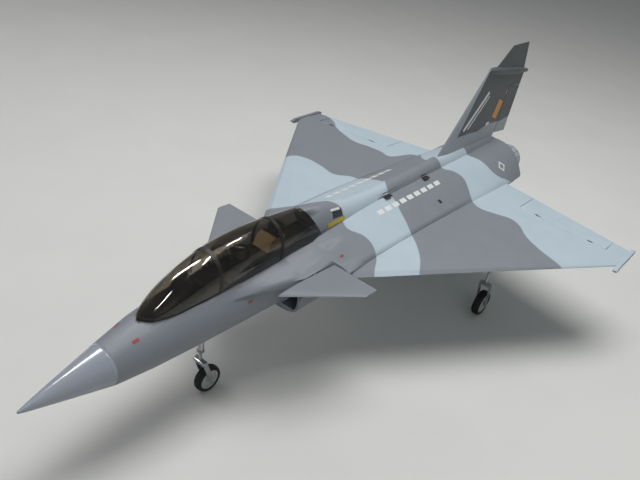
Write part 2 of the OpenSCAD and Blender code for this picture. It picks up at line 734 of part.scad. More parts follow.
// Shelf between the front body and each canard:
// it leaves the body's side and grows to the intake body's shoulder
shelf_len = 115;
shelf_in = 34;
shelf_start = 40;
shelf_steps = 5;
function shoulder(row, x) = row[6] + (row[2] - row[6]) * (1 - (x / row[1]) ^ row[3]);
function front_height(x) =
  let (r = front_rows[2]) r[3] + (r[2] - r[3]) * (1 - (x / r[1]) ^ r[5]) ^ (1 / r[5]);
function shelf(f) =
  let (
    s = joint_s - shelf_len * (1 - f), grown = f ^ 1.5,
    out = shelf_start + (shelf_out - shelf_start) * grown,
    shares = [1, 0.75, 0.5, 0.25, 0],
    top = [
      for (u = shares)
        let (
          low = front_height(shelf_in + (shelf_start - shelf_in) * u) - 1,
          high = shoulder(trunk_rows[0], shelf_in + (shelf_out - shelf_in) * u)
        )
          [shelf_in + (out - shelf_in) * u, s, low + (high - low) * grown]
    ],
    foot = top[0][2] - 2 - (shelf_z - mouth_top - 3.5) * grown
  )
  concat([[shelf_in, s, foot], [out - 1.5, s, foot], [out, s, foot + 1.5]], top);
module canard_fairings() color(mid_grey) on_wheels() difference() {
  pair() loft([for (k = [0:shelf_steps]) shelf(k / shelf_steps)]);
  front_form();
}
// Louvred vents in the spine's left flank: slots between thin ribs
vent_s = [668, 790];
vent_l = 16;
vent_z = 40;
vent_slots = 3;
vent_pitch = 4;
vent_rib = 1.2;
module vent_cut() for (s = vent_s, i = [0:vent_slots - 1])
  translate([deck_rows[13][1] - 8, s, vent_z + i * vent_pitch])
    box([0, -vent_l / 2, 0], [far, vent_l / 2, vent_pitch - vent_rib]);
module dorsal_spine() color(light_grey) on_wheels() difference() {
  deck_form();
  trunk_form();
  hatch_room();
  box([-far, 0, -far], [far, joint_s, far]);
  fin_form();
  vent_cut();
}
module fin() color(dark_grey) on_wheels() difference() {
  fin_form();
  over_pod();
  pod();
  rudder_frame() {
    box([-far, -surface_gap, -far], [rudder_h + surface_gap, far, far]);
    for (x = rudder_hinge_x) hinge_seat(x, -1);
    mirror([0, 0, 1]) servo_pocket(rudder_horn_x, rudder_link, servo_drop);
  }
}
tip_front = 22;
tip_back = 168;
module fin_tip_fairing() color(light_grey) on_wheels() {
  chord = tip_back - tip_front;
  low = [for (p = upright_foil(0, pod_s + tip_front, chord, 6)) [p[0], p[1], pod_height(p[1])]];
  pod();
  loft([low, upright_foil(fin_top, pod_s + 81, 74, 4)]);
}

// Wing pieces
module wing_form()
  loft([for (x = [root_x, tip_x]) flat_foil(x, wing_le(x), wing_chord(x), wing_thick(x), 0)]);
module wing_panel() difference() {
  wing_form();
  elevon_plan(0);
  spar_tubes(spar_r + run);
  main_mount_place() mount_pocket();
  elevon_frame() {
    for (x = elevon_hinge_x) hinge_seat(x, -1);
    servo_pocket(elevon_horn_x, elevon_link, servo_drop);
  }
}
module left_wing() color(light_grey) on_wheels() wing_panel();
module right_wing() color(light_grey) on_wheels() mirrored() wing_panel();
spar_wall = 0.7;
module wing_spars() color(black) on_wheels() pair() difference() {
  spar_tubes(spar_r);
  spar_tubes(spar_r - spar_wall, 1);
}
rail_nose = 14;
module tip_rails() color(mid_grey) on_wheels() pair()
  translate([tip_x + rail_w / 2, tip_le + tip_chord + 8, 0])
    slab_x(rail_w)
      polygon([
        [-rail_len, -1], [-rail_len + rail_nose * 0.4, -rail_h / 2], [-6, -rail_h / 2], [0, -rail_h / 2 + 2],
        [0, rail_h / 2 - 2], [-6, rail_h / 2], [-rail_len + rail_nose, rail_h / 2], [-rail_len, 1.5]
      ]);
module elevon_panel() difference() {
  intersection() {
    wing_form();
    elevon_plan(surface_gap);
  }
  elevon_frame() {
    nose_bevel(-10, elevon_len + 10);
    for (x = elevon_hinge_x) hinge_seat(x, 1);
    horn_slot(elevon_horn_x);
  }
}
module left_elevon() color(light_grey) on_wheels() elevon_panel();
module right_elevon() color(light_grey) on_wheels() mirrored() elevon_panel();
module elevon_hinges() color(nylon) on_wheels() pair()
  elevon_frame() for (x = elevon_hinge_x) hinge_fixed(x);
module elevon_fittings() elevon_frame() {
  for (x = elevon_hinge_x) hinge_moving(x);
  link_horn(elevon_horn_x, elevon_half);
}
module left_elevon_fittings() color(nylon) on_wheels() elevon_fittings();
module right_elevon_fittings() color(nylon) on_wheels() mirrored() elevon_fittings();
module elevon_arm() elevon_frame() link_arm(elevon_horn_x, elevon_link, servo_drop);
module left_elevon_arm() color(nylon) on_wheels() elevon_arm();
module right_elevon_arm() color(nylon) on_wheels() mirrored() elevon_arm();
module elevon_rod() elevon_frame() link_rod(elevon_horn_x, elevon_link, servo_drop);
module left_elevon_rod() color(metal) on_wheels() elevon_rod();
module right_elevon_rod() color(metal) on_wheels() mirrored() elevon_rod();

// Rudder pieces, with the linkage on the right-hand side
module rudder() color(dark_grey) on_wheels() difference() {
  intersection() {
    fin_form();
    rudder_frame() box([0, -surface_gap, -far], [rudder_h, far, far]);
  }
  rudder_frame() {
    nose_bevel(-10, rudder_h + 10);
    for (x = rudder_hinge_x) hinge_seat(x, 1);
    mirror([0, 0, 1]) horn_slot(rudder_horn_x);
  }
}
module rudder_hinges() color(nylon) on_wheels()
  rudder_frame() for (x = rudder_hinge_x) hinge_fixed(x);
module rudder_fittings() color(nylon) on_wheels() rudder_frame() {
  for (x = rudder_hinge_x) hinge_moving(x);
  mirror([0, 0, 1]) link_horn(rudder_horn_x, rudder_half);
}
module rudder_arm() color(nylon) on_wheels()
  rudder_frame() mirror([0, 0, 1]) link_arm(rudder_horn_x, rudder_link, servo_drop);
module rudder_rod() color(metal) on_wheels()
  rudder_frame() mirror([0, 0, 1]) link_rod(rudder_horn_x, rudder_link, servo_drop);

// Canard pieces
canard_grip = 30;
module canard() difference() {
  loft([
    flat_foil(canard_root, canard_le, canard_te - canard_le, canard_thick, canard_z),
    flat_foil(canard_tip, canard_tip_le, canard_te - canard_tip_le, canard_tip_thick, canard_z)
  ]);
  canard_frame() translate([canard_root - 1, 0, 0]) along_x() cylinder(r=shaft_r + 0.02, h=canard_grip + 1);
}
module left_canard() color(mid_grey) on_wheels() canard();
module right_canard() color(mid_grey) on_wheels() mirrored() canard();
module canard_bushes() color(nylon) on_wheels() pair() canard_frame() difference() {
  translate([bush_in, 0, 0]) along_x() cylinder(r=bush_r, h=canard_root - bush_in - 0.6);
  translate([bush_in - 1, 0, 0]) along_x() cylinder(r=shaft_r + run, h=canard_root);
}
module canard_shaft() color(metal) on_wheels() canard_frame() {
  shaft_end = canard_root + canard_grip;
  translate([-shaft_end, 0, 0]) along_x() cylinder(r=shaft_r, h=2 * shaft_end);
  translate([crank_x + horn_t / 2, 0, 0]) slab_x(horn_t) difference() {
    union() {
      circle(r=shaft_r + 2);
      translate([-1.6, -horn_r]) square([3.2, horn_r]);
      translate([0, -horn_r]) circle(r=2);
    }
    translate([0, -horn_r]) circle(r=pin_r + run);
  }
}
module canard_arm() color(nylon) on_wheels() canard_frame() link_arm(crank_x, -canard_link, servo_drop);
module canard_rod() color(metal) on_wheels() canard_frame() link_rod(crank_x, -canard_link, servo_drop);

// Ducted fans
hub_u = 8;
hub_len = 16;
rotor_gap = 3;
motor_u = hub_u + hub_len + rotor_gap;
cup_wall = 1.5;
vane_u = motor_u + 8;
vane_len = 22;
vane_t = 2;
fan_shaft_r = 2;
module fan_shroud() fan_axis() {
  difference() {
    cylinder(r=fan_r + fan_wall, h=fan_len);
    translate([0, 0, -1]) cylinder(r=fan_r, h=fan_len + 2);
  }
  difference() {
    union() {
      translate([0, 0, motor_u + 1]) cylinder(r=motor_r + cup_wall, h=fan_len - motor_u - 1);
      for (k = [0:vanes - 1])
        rotate([0, 0, 360 / vanes * k])
          box([motor_r, -vane_t / 2, vane_u], [fan_r + fan_wall / 2, vane_t / 2, vane_u + vane_len]);
    }
    cylinder(r=motor_r, h=fan_len + 1);
  }
}
module fan_shrouds() color(black) on_wheels() pair() fan_shroud();
module fan_motors() color(metal) on_wheels() pair() fan_axis() difference() {
  translate([0, 0, motor_u]) cylinder(r=motor_r, h=motor_len);
  translate([0, 0, motor_u - 1]) cylinder(r=fan_shaft_r + run, h=motor_len * 0.6);
}
blade_root_chord = 17;
blade_tip_chord = 14;
blade_root_pitch = 50;
blade_tip_pitch = 28;
blade_t = 1.8;
blade_camber = 1.4;
function blade_section(r) =
  let (
    f = (r - hub_r) / (fan_r - hub_r),
    chord = blade_root_chord + (blade_tip_chord - blade_root_chord) * f,
    pitch = blade_root_pitch + (blade_tip_pitch - blade_root_pitch) * f,
    shares = [0, 0.2, 0.5, 0.8, 1],
    under = [for (i = [4:-1:0]) [shares[i], -blade_t / 2 * sin(180 * shares[i])]],
    over = [for (i = [1:3]) [shares[i], blade_t / 2 * sin(180 * shares[i])]]
  )
  [
    for (p = concat(under, over))
      let (y = (p[0] - 0.5) * chord, z = p[1] + blade_camber * sin(180 * p[0]))
        [r, y * sin(pitch) - z * cos(pitch), y * cos(pitch) + z * sin(pitch)]
  ];
module fan_rotor() fan_axis() {
  spinner = 16;
  translate([0, 0, hub_u]) cylinder(r=hub_r, h=hub_len);
  nose_u = hub_u + 1;
  low_r = hub_r - 1;
  high_r = sqrt((fan_r - tip_gap) ^ 2 - (blade_tip_chord / 2) ^ 2);
  rotate_extrude() polygon(concat(
    [[0, nose_u]],
    [for (a = [0:15:90]) [hub_r * cos(a), nose_u - spinner * sin(a)]]
  ));
  for (k = [0:blades - 1])
    rotate([0, 0, 360 / blades * k])
      translate([0, 0, hub_u + hub_len / 2])
        loft([for (f = [0, 0.5, 1]) blade_section(low_r + (high_r - low_r) * f)]);
  translate([0, 0, hub_u + 2]) cylinder(r=fan_shaft_r, h=motor_u - hub_u - 2 + motor_len * 0.5);
}
module left_rotor() color(black) on_wheels() fan_rotor();
module right_rotor() color(black) on_wheels() mirrored() fan_rotor();
module tail_pipes() color(dark_grey) on_wheels() pair() difference() {
  exhaust_axis() translate([0, 0, -pipe_lap]) difference() {
    cylinder(r1=pipe_r1, r2=pipe_r2, h=pipe_len + pipe_lap);
    translate([0, 0, -0.001])
      cylinder(r1=pipe_r1 - pipe_wall, r2=pipe_r2 - pipe_wall, h=pipe_len + pipe_lap + 0.002);
  }
  fan_axis() cylinder(r=fan_r + 2 * fan_wall, h=fan_len);
}
module nozzles() color(light_grey) on_wheels() pair()
  exhaust_axis() translate([0, 0, pipe_len]) rotate_extrude() polygon([
    [pipe_r2 - pipe_wall, 0], [nozzle_r, 0], [nozzle_r, nozzle_len * 0.4], [nozzle_r - 1.5, nozzle_len],
    [pipe_r2 - pipe_wall, nozzle_len]
  ]);

// Things in the bay
strap_t = 1.2;
battery_w = 34;
battery_l = 112;
battery_h = 28;
battery_s = bay_front + 6;
module battery() color("#2b4f7a") on_wheels() translate([0, battery_s, bay_z + strap_t])
  box([-battery_w / 2, 0, 0], [battery_w / 2, battery_l, battery_h]);
module battery_strap() color(black) on_wheels()
  translate([0, battery_s + battery_l * 0.55, bay_z]) difference() {
  box([-battery_w / 2 - strap_t, -10, 0], [battery_w / 2 + strap_t, 10, battery_h + 2 * strap_t]);
  box([-battery_w / 2, -11, strap_t], [battery_w / 2, 11, battery_h + strap_t]);
}
module receiver() color(dark_grey) on_wheels() translate([0, battery_s + battery_l + 8, bay_z]) {
  box([-11, 0, 0], [11, 40, 13]);
  box([-9, 40, 3], [9, 46, 11]);
}
module speed_controllers() color("#7c2b2b") on_wheels() pair()
  translate([10, canard_s - 30, bay_z]) box([-8.5, 0, 0], [8.5, 52, 12]);
module servos() color(black) on_wheels() {
  pair() elevon_frame() link_servo(elevon_horn_x, elevon_link, servo_drop);
  rudder_frame() mirror([0, 0, 1]) link_servo(rudder_horn_x, rudder_link, servo_drop);
  canard_frame() link_servo(crank_x, -canard_link, servo_drop);
  steer_frame() link_servo(steer_plane, steer_link, servo_drop);
}

// Lift-off hatch
sill_slope = atan((sill_rear - sill_front) / (canopy_rear - canopy_front));
module canopy_glass() color("#3a2f26", 0.6) on_wheels() difference() {
  intersection() {
    deck_form(0, hatch_last);
    hatch_room(hatch_gap);
  }
  deck_form(-glass_t, hatch_last);
}
// Bows across the glass, which end a little above the body's skin
bow_s = [272, 389];
bow_w = 6;
bow_t = 0.6;
bow_foot = 3.5;
module canopy_bows() color(black) on_wheels() difference() {
  intersection() {
    deck_form(bow_t, hatch_last);
    hatch_room(bow_foot);
    union() {
      for (s = bow_s) box([-far, s - bow_w / 2, -far], [far, s + bow_w / 2, far]);
    }
  }
  deck_form(0, hatch_last);
}
module hatch_tray() color(black) on_wheels() intersection() {
  deck_form(-glass_t - 0.2, hatch_last);
  hatch_room(hatch_gap);
  slab_x(2 * far) polygon([
    [canopy_front, -far], [canopy_rear, -far],
    [canopy_rear, sill_rear + hatch_gap + tray_t], [canopy_front, sill_front + hatch_gap + tray_t]
  ]);
}
module on_tray(s) translate([0, s, sill(s) + hatch_gap + tray_t]) rotate([sill_slope, 0, 0]) children();
// Outlines of the pilot's chest, seen from ahead and from the left
chest_front = [
  [-16, 0], [16, 0], [19, 6], [17, 11], [10, 14.5], [-10, 14.5], [-17, 11], [-19, 6]
];
chest_side = [[-11, 0], [11, 0], [13, 6], [11, 12], [6, 15], [-5, 15], [-11, 10]];
module pilot() color(black) on_wheels() on_tray(pilot_s) {
  helmet_z = helmet_r + 8;
  intersection() {
    rotate([90, 0, 0]) linear_extrude(height=30, center=true) polygon(chest_front);
    slab_x(40) polygon(chest_side);
  }
  cylinder(r=helmet_r / 2, h=helmet_z);
  translate([0, 0, helmet_z]) {
    sphere(r=helmet_r - 1);
    // Visor
    intersection() {
      sphere(r=helmet_r - 0.2);
      box([-far, -far, -4], [far, -2, 8]);
    }
    // Mask
    translate([0, -helmet_r * 0.6, -helmet_r * 0.5]) rotate([70, 0, 0]) cylinder(r1=6, r2=4, h=8);
  }
}
module seat() color("#8c7a5e") on_wheels() on_tray(pilot_s + 32) {
  slab_x(30) polygon([[-14, 0], [34, 0], [46, 28], [30, 31], [18, 28], [8, 8], [-14, 6]]);
  // Headrest
  slab_x(16) polygon([[26, 20], [42, 20], [50, 42], [34, 43]]);
}
module instrument_coaming() color(black) on_wheels() on_tray(236) slab_x(34)
  polygon([[-16, 0], [22, 0], [22, 12], [16, 20], [2, 22], [-16, 3]]);

// Landing gear
module gear_mounts() color(black) on_wheels() {
  nose_mount_place() gear_mount();
  pair() main_mount_place() gear_mount();
}
module main_legs() color(metal) on_wheels() pair() main_mount_place()
  gear_leg(main_axle_z + main_skin, main_wheel_r, main_trail);
module nose_leg() color(metal) on_wheels() {
  nose_mount_place() gear_leg(nose_axle_z + belly, nose_wheel_r, trail);
  steer_frame() translate([steer_plane + horn_t / 2, 0, 0]) slab_x(horn_t) difference() {
    union() {
      circle(r=leg_r + 3);
      translate([-2, -horn_r]) square([4, horn_r]);
      translate([0, -horn_r]) circle(r=2.4);
    }
    translate([0, -horn_r]) circle(r=pin_r + run);
  }
}
module steering_arm() color(nylon) on_wheels() steer_frame() link_arm(steer_plane, steer_link, servo_drop);
module steering_rod() color(metal) on_wheels() steer_frame() link_rod(steer_plane, steer_link, servo_drop);
module nose_wheel_place() translate([0, nose_leg_s + trail, nose_axle_z]) children();
module main_wheel_place() translate([main_x, main_s + main_trail, main_axle_z]) children();
module nose_wheel() color(nylon) on_wheels() nose_wheel_place() wheel_disc(nose_wheel_r);
module nose_tyre() color(black) on_wheels() nose_wheel_place() tyre_ring(nose_wheel_r);
module left_wheel() color(nylon) on_wheels() main_wheel_place() wheel_disc(main_wheel_r);
module left_tyre() color(black) on_wheels() main_wheel_place() tyre_ring(main_wheel_r);
module right_wheel() color(nylon) on_wheels() mirrored() main_wheel_place() wheel_disc(main_wheel_r);
module right_tyre() color(black) on_wheels() mirrored() main_wheel_place() tyre_ring(main_wheel_r);

nose_cone();
front_fuselage();
intake_body();
centre_fuselage();
dorsal_spine();
fin();
fin_tip_fairing();
left_wing();
right_wing();
wing_spars();
tip_rails();
canard_fairings();
canard_bushes();
fan_shrouds();
fan_motors();
tail_pipes();
nozzles();
battery();
battery_strap();
receiver();
speed_controllers();
servos();
elevon_hinges();
rudder_hinges();
gear_mounts();
main_legs();
canopy_glass();
canopy_bows();
hatch_tray();
pilot();
seat();
instrument_coaming();
left_elevon();
right_elevon();
left_elevon_fittings();
right_elevon_fittings();
left_elevon_arm();
right_elevon_arm();
left_elevon_rod();
right_elevon_rod();
rudder();
rudder_fittings();
rudder_arm();
rudder_rod();
left_canard();
right_canard();
canard_shaft();
canard_arm();
canard_rod();
left_rotor();
right_rotor();
nose_leg();
steering_arm();
steering_rod();
nose_wheel();
nose_tyre();
left_wheel();
left_tyre();
right_wheel();
right_tyre();
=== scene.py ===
"""Looks of a grey foam ducted-fan jet model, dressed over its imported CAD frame."""
import json
import math

import bpy
from mathutils import Matrix, Vector


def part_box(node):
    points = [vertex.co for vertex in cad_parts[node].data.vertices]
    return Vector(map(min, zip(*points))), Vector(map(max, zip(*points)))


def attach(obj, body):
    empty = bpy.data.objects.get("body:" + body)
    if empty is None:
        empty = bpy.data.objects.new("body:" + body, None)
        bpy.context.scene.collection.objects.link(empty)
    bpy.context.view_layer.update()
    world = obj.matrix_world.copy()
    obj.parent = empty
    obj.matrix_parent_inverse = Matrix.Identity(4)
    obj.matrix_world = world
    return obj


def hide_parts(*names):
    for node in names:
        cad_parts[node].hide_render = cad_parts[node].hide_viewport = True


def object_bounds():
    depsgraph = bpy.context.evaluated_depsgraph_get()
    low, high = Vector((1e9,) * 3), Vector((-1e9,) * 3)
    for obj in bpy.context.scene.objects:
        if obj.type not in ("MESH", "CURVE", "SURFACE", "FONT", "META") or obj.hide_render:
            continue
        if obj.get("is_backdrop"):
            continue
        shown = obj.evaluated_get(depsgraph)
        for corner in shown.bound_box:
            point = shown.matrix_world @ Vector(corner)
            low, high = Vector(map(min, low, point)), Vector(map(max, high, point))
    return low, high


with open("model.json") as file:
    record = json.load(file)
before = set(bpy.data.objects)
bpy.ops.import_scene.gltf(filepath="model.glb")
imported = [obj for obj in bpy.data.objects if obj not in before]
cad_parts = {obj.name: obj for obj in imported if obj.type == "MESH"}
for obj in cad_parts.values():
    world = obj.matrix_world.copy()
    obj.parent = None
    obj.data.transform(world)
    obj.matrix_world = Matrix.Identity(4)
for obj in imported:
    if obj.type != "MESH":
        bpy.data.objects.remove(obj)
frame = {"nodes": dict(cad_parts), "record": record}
cad_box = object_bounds()

# Camera. The photograph was taken by hand from ahead of the model's left canard, a little above it,
# with the camera tilted to one side. Place, tilt and lens were solved on the model's own outline.
MM = 0.001
CAMERA_PLACE = (540.9, -819.7, 744.8)
CAMERA_TURN = (58.21, -7.70, 40.51)
LENS_MM = 37.55
SENSOR_MM = 36.0
NEAR_CLIP_MM = 50.0

eye = bpy.data.cameras.new("photo_camera")
eye.lens = LENS_MM
eye.sensor_width = SENSOR_MM
eye.clip_start = NEAR_CLIP_MM * MM
camera = bpy.data.objects.new("photo_camera", eye)
camera.location = [c * MM for c in CAMERA_PLACE]
camera.rotation_euler = [math.radians(a) for a in CAMERA_TURN]
bpy.context.collection.objects.link(camera)
bpy.context.scene.camera = camera
bpy.context.scene.view_settings.view_transform = "Standard"

# Studio. A plain paper floor in a dim even room. A broad panel overhead and two weak ones at the sides give
# soft light and aren't mirrored. The narrow tubes reach glossy surfaces only, and show as bright streaks in
# the canopy and the nose cone.
FLOOR_SIZE = 14.0
FLOOR_PALE = "#d8d8d4"
FLOOR_GREY = "#d0d0cc"
FLOOR_PATCH_MM = 167.0
SKY = "#e8ecf0"
SKY_STRENGTH = 0.22
AIM = (0, 0, 0.2)
# Name, place and size in metres, and watts
PANELS = [
    ("overhead_panel", (0.1, 0.3, 2.4), (1.1, 2.0), 46.0),
    ("fore_tube", (0.05, -1.30, 1.9), (0.09, 0.50), 10.0),
    ("middle_tube", (0.20, -0.15, 1.9), (0.09, 0.40), 9.0),
    ("aft_tube", (0.20, 0.55, 1.9), (0.09, 0.40), 9.0),
    ("right_tube", (-0.95, -0.45, 1.9), (0.16, 1.00), 24.0),
    ("left_panel", (2.0, -1.2, 1.3), (1.4, 1.4), 5.0),
    ("right_panel", (-2.2, -0.6, 1.8), (1.4, 1.4), 9.0),
]


def hex_colour(code):
    """Linear colour of an sRGB hex value, for a shader's socket."""
    parts = [int(code[i:i + 2], 16) / 255 for i in (1, 3, 5)]
    return [c / 12.92 if c <= 0.04045 else ((c + 0.055) / 1.055) ** 2.4 for c in parts] + [1.0]


def add_node(tree, kind, inputs=None, **settings):
    """Adds a shader node with its settings, and sets or links its inputs."""
    node = tree.nodes.new(kind)
    for name, value in settings.items():
        setattr(node, name, value)
    for socket, value in (inputs or {}).items():
        if isinstance(value, bpy.types.NodeSocket):
            tree.links.new(value, node.inputs[socket])
        else:
            node.inputs[socket].default_value = value
    return node


def new_material(name, **values):
    """A material with its shader, whose plain values are set on the shader's own sockets."""
    material = bpy.data.materials.new(name)
    material.use_nodes = True
    shader = material.node_tree.nodes["Principled BSDF"]
    for socket, value in values.items():
        shader.inputs[socket.replace("_", " ")].default_value = value
    return material, material.node_tree, shader


def dress(piece, material):
    """Gives a piece one material."""
    piece.data.materials.clear()
    piece.data.materials.append(material)


def two_tone(tree, shader, deep, bright, patch_mm, detail):
    """Colour that drifts from a deep to a bright tone in soft patches of a size. Gives back the patches."""
    place = add_node(tree, "ShaderNodeTexCoord")
    patches = add_node(tree, "ShaderNodeTexNoise", {"Vector": place.outputs["Object"],
                                                    "Scale": 1 / (patch_mm * MM), "Detail": detail})
    tint = add_node(tree, "ShaderNodeMix", {"Factor": patches.outputs["Fac"], "A": hex_colour(deep),
                                            "B": hex_colour(bright)}, data_type="RGBA")
    tree.links.new(tint.outputs["Result"], shader.inputs["Base Color"])
    return patches.outputs["Fac"]


bpy.ops.object.select_all(action="DESELECT")
bpy.ops.mesh.primitive_plane_add(size=FLOOR_SIZE, location=(0, 0, 0))
floor = bpy.context.object
floor.name = "studio_floor"
# Seamless paper: matte and even
paper, tree, shader = new_material("seamless_paper", Roughness=0.85)
two_tone(tree, shader, FLOOR_GREY, FLOOR_PALE, FLOOR_PATCH_MM, detail=3.0)
dress(floor, paper)
floor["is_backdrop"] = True

world = bpy.data.worlds.new("soft_room")
bpy.context.scene.world = world
world.use_nodes = True
sky = world.node_tree.nodes["Background"]
sky.inputs["Color"].default_value = hex_colour(SKY)
sky.inputs["Strength"].default_value = SKY_STRENGTH
for name, spot, size, watts in PANELS:
    panel = bpy.data.lights.new(name, "AREA")
    panel.shape = "RECTANGLE"
    panel.size, panel.size_y = size
    panel.energy = watts
    light = bpy.data.objects.new(name, panel)
    light.location = spot
    light.rotation_euler = (Vector(AIM) - Vector(spot)).to_track_quat("-Z", "Y").to_euler()
    light.visible_glossy = name.endswith("tube")
    light.visible_diffuse = not light.visible_glossy
    bpy.context.collection.objects.link(light)

# Painted foam body. The centre body, spine, wings, elevons and tip rails are moulded from expanded foam beads
# and sprayed matte in two greys, whose wavy edges run across the wings. The beads show as a fine dimpling.
LIGHT_GREY = "#b0bec7"
MEDIUM_GREY = "#7e838a"
UNDERSIDE_GREY = "#aab6bd"
BEAD_MM = 3.0
SPRAY_MM = 36.0
SPRAY_EDGE_MM = 1.2
MERGE_MM = 0.02
# Z of a face's normal where the underside's grey sets in, and where it is full
DOWNWARD = (-0.10, -0.25)
# Half the width and half the length in mm of the field that the paint edges are drawn on
FIELD_X = 380.0
FIELD_Y = 600.0
# Paint edges as left and aft places in mm in the frame, from the right tip to the left tip
FRONT_EDGE = [(-375, -180), (-118, -60), (-88, -22), (-66, -6), (-35, -30), (-7, -58), (14, -44), (35, -49),
              (58, -31), (78, -31), (95, -43), (118, -76), (375, -180)]
FORE_BAND_EDGE = [(-375, 0), (-262, 90), (-245, 128), (-217, 140), (-173, 137), (-132, 129), (-105, 150),
                  (-46, 138), (-24, 126), (11, 90), (27, 92), (50, 82), (87, 64), (115, 42), (143, 12),
                  (162, -16), (375, -200)]
MID_EDGE = [(-375, 372), (-323, 357), (-289, 329), (-252, 312), (-213, 301), (-185, 307), (-150, 309),
            (-124, 306), (-100, 365), (-78, 350), (-56, 312), (-20, 274), (15, 266), (35, 290), (52, 298),
            (71, 289), (90, 275), (116, 261), (147, 268), (175, 276), (195, 267), (222, 239), (255, 218),
            (288, 206), (375, 190)]
TAIL_EDGE = [(-375, 560), (-110, 520), (-92, 443), (-78, 404), (-38, 385), (-13, 366), (13, 366), (38, 385),
             (78, 404), (92, 443), (110, 520), (375, 560)]
body_of_node = {n: b for b, nodes in frame["record"]["behaviour"]["bodies"].items() for n in nodes}


def alone(piece):
    """Makes a piece the only selected one, and the active one."""
    bpy.ops.object.select_all(action="DESELECT")
    piece.select_set(True)
    bpy.context.view_layer.objects.active = piece


def node_copy(node, name):
    """Copy of a CAD node with its loose triangles merged, selected alone."""
    piece = frame["nodes"][node].copy()
    piece.data = piece.data.copy()
    piece.name = name
    piece.parent = None
    bpy.context.collection.objects.link(piece)
    alone(piece)
    bpy.ops.object.mode_set(mode="EDIT")
    bpy.ops.mesh.select_all(action="SELECT")
    bpy.ops.mesh.remove_doubles(threshold=MERGE_MM * MM)
    bpy.ops.object.mode_set(mode="OBJECT")
    return piece


def smooth_copy(node, angle=35, evened=True, reshape=None):
    """Copy that stands for a CAD node, reshaped where asked and shaded smooth on its curved faces."""
    piece = node_copy(node, node + "_skin")
    if reshape:
        reshape(piece)
    bpy.ops.object.shade_smooth_by_angle(angle=math.radians(angle))
    if evened:
        even = piece.modifiers.new("even_shading", "WEIGHTED_NORMAL")
        even.keep_sharp = True
        bpy.ops.object.modifier_apply(modifier="even_shading")
    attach(piece, body_of_node[node])
    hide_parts(node)
    return piece


def foam_surface(tree, shader, colour):
    """Foam finish: bead dimples, a faint mottle in the sprayed colour and a dry satin sheen."""
    place = add_node(tree, "ShaderNodeTexCoord").outputs["Object"]
    beads = add_node(tree, "ShaderNodeTexVoronoi", {"Vector": place, "Scale": 1 / (BEAD_MM * MM)})
    spray = add_node(tree, "ShaderNodeTexNoise", {"Vector": place, "Scale": 1 / (SPRAY_MM * MM),
                                                  "Detail": 5.0})
    shade = add_node(tree, "ShaderNodeMapRange", {"Value": spray.outputs["Fac"], "To Min": 0.93,
                                                  "To Max": 1.05})
    mottled = add_node(tree, "ShaderNodeMix", {"Factor": 1.0, "A": colour, "B": shade.outputs["Result"]},
                       data_type="RGBA", blend_type="MULTIPLY")
    sheen = add_node(tree, "ShaderNodeMapRange", {"Value": spray.outputs["Fac"], "To Min": 0.42,
                                                  "To Max": 0.56})
    dimples = add_node(tree, "ShaderNodeBump", {"Height": beads.outputs["Distance"], "Strength": 0.10,
                                                "Distance": 0.6 * MM}, invert=True)
    tree.links.new(mottled.outputs["Result"], shader.inputs["Base Color"])
    tree.links.new(sheen.outputs["Result"], shader.inputs["Roughness"])
    tree.links.new(dimples.outputs["Normal"], shader.inputs["Normal"])


# Two-grey spray over bead foam: matte, faintly mottled and dimpled
two_greys, tree, shader = new_material("two_grey_sprayed_foam", IOR=1.45)
place = add_node(tree, "ShaderNodeTexCoord")
axes = add_node(tree, "ShaderNodeSeparateXYZ", {"Vector": place.outputs["Object"]})
across = add_node(tree, "ShaderNodeMapRange", {"Value": axes.outputs["X"], "From Min": -FIELD_X * MM,
                                               "From Max": FIELD_X * MM})
behind = []
for edge in (FRONT_EDGE, FORE_BAND_EDGE, MID_EDGE, TAIL_EDGE):
    curve = add_node(tree, "ShaderNodeFloatCurve", {"Value": across.outputs["Result"]})
    line = curve.mapping.curves[0]
    spots = [((x + FIELD_X) / (2 * FIELD_X), (y + FIELD_Y) / (2 * FIELD_Y)) for x, y in edge]
    line.points[0].location = spots[0]
    line.points[-1].location = spots[-1]
    for spot in spots[1:-1]:
        line.points.new(*spot)
    curve.mapping.update()
    edge_y = add_node(tree, "ShaderNodeMapRange", {"Value": curve.outputs["Value"], "To Min": -FIELD_Y * MM,
                                                   "To Max": FIELD_Y * MM})
    past = add_node(tree, "ShaderNodeMath", {0: axes.outputs["Y"], 1: edge_y.outputs["Result"]},
                    operation="SUBTRACT")
    behind.append(add_node(tree, "ShaderNodeMapRange", {"Value": past.outputs["Value"],
                                                        "From Min": -SPRAY_EDGE_MM * MM,
                                                        "From Max": SPRAY_EDGE_MM * MM}))
band = add_node(tree, "ShaderNodeMath", {0: behind[0].outputs["Result"], 1: behind[1].outputs["Result"]},
                operation="SUBTRACT", use_clamp=True)
rear = add_node(tree, "ShaderNodeMath", {0: behind[2].outputs["Result"], 1: behind[3].outputs["Result"]},
                operation="SUBTRACT", use_clamp=True)
pale = add_node(tree, "ShaderNodeMath", {0: band.outputs["Value"], 1: rear.outputs["Value"]}, operation="ADD",
                use_clamp=True)
top_colour = add_node(tree, "ShaderNodeMix", {"Factor": pale.outputs["Value"], "A": hex_colour(MEDIUM_GREY),
                                              "B": hex_colour(LIGHT_GREY)}, data_type="RGBA")
facing = add_node(tree, "ShaderNodeSeparateXYZ", {"Vector": place.outputs["Normal"]})
downward = add_node(tree, "ShaderNodeMapRange", {"Value": facing.outputs["Z"], "From Min": DOWNWARD[0],
                                                 "From Max": DOWNWARD[1]})
belly = add_node(tree, "ShaderNodeMath", {0: downward.outputs["Result"], 1: behind[0].outputs["Result"]},
                 operation="MULTIPLY")
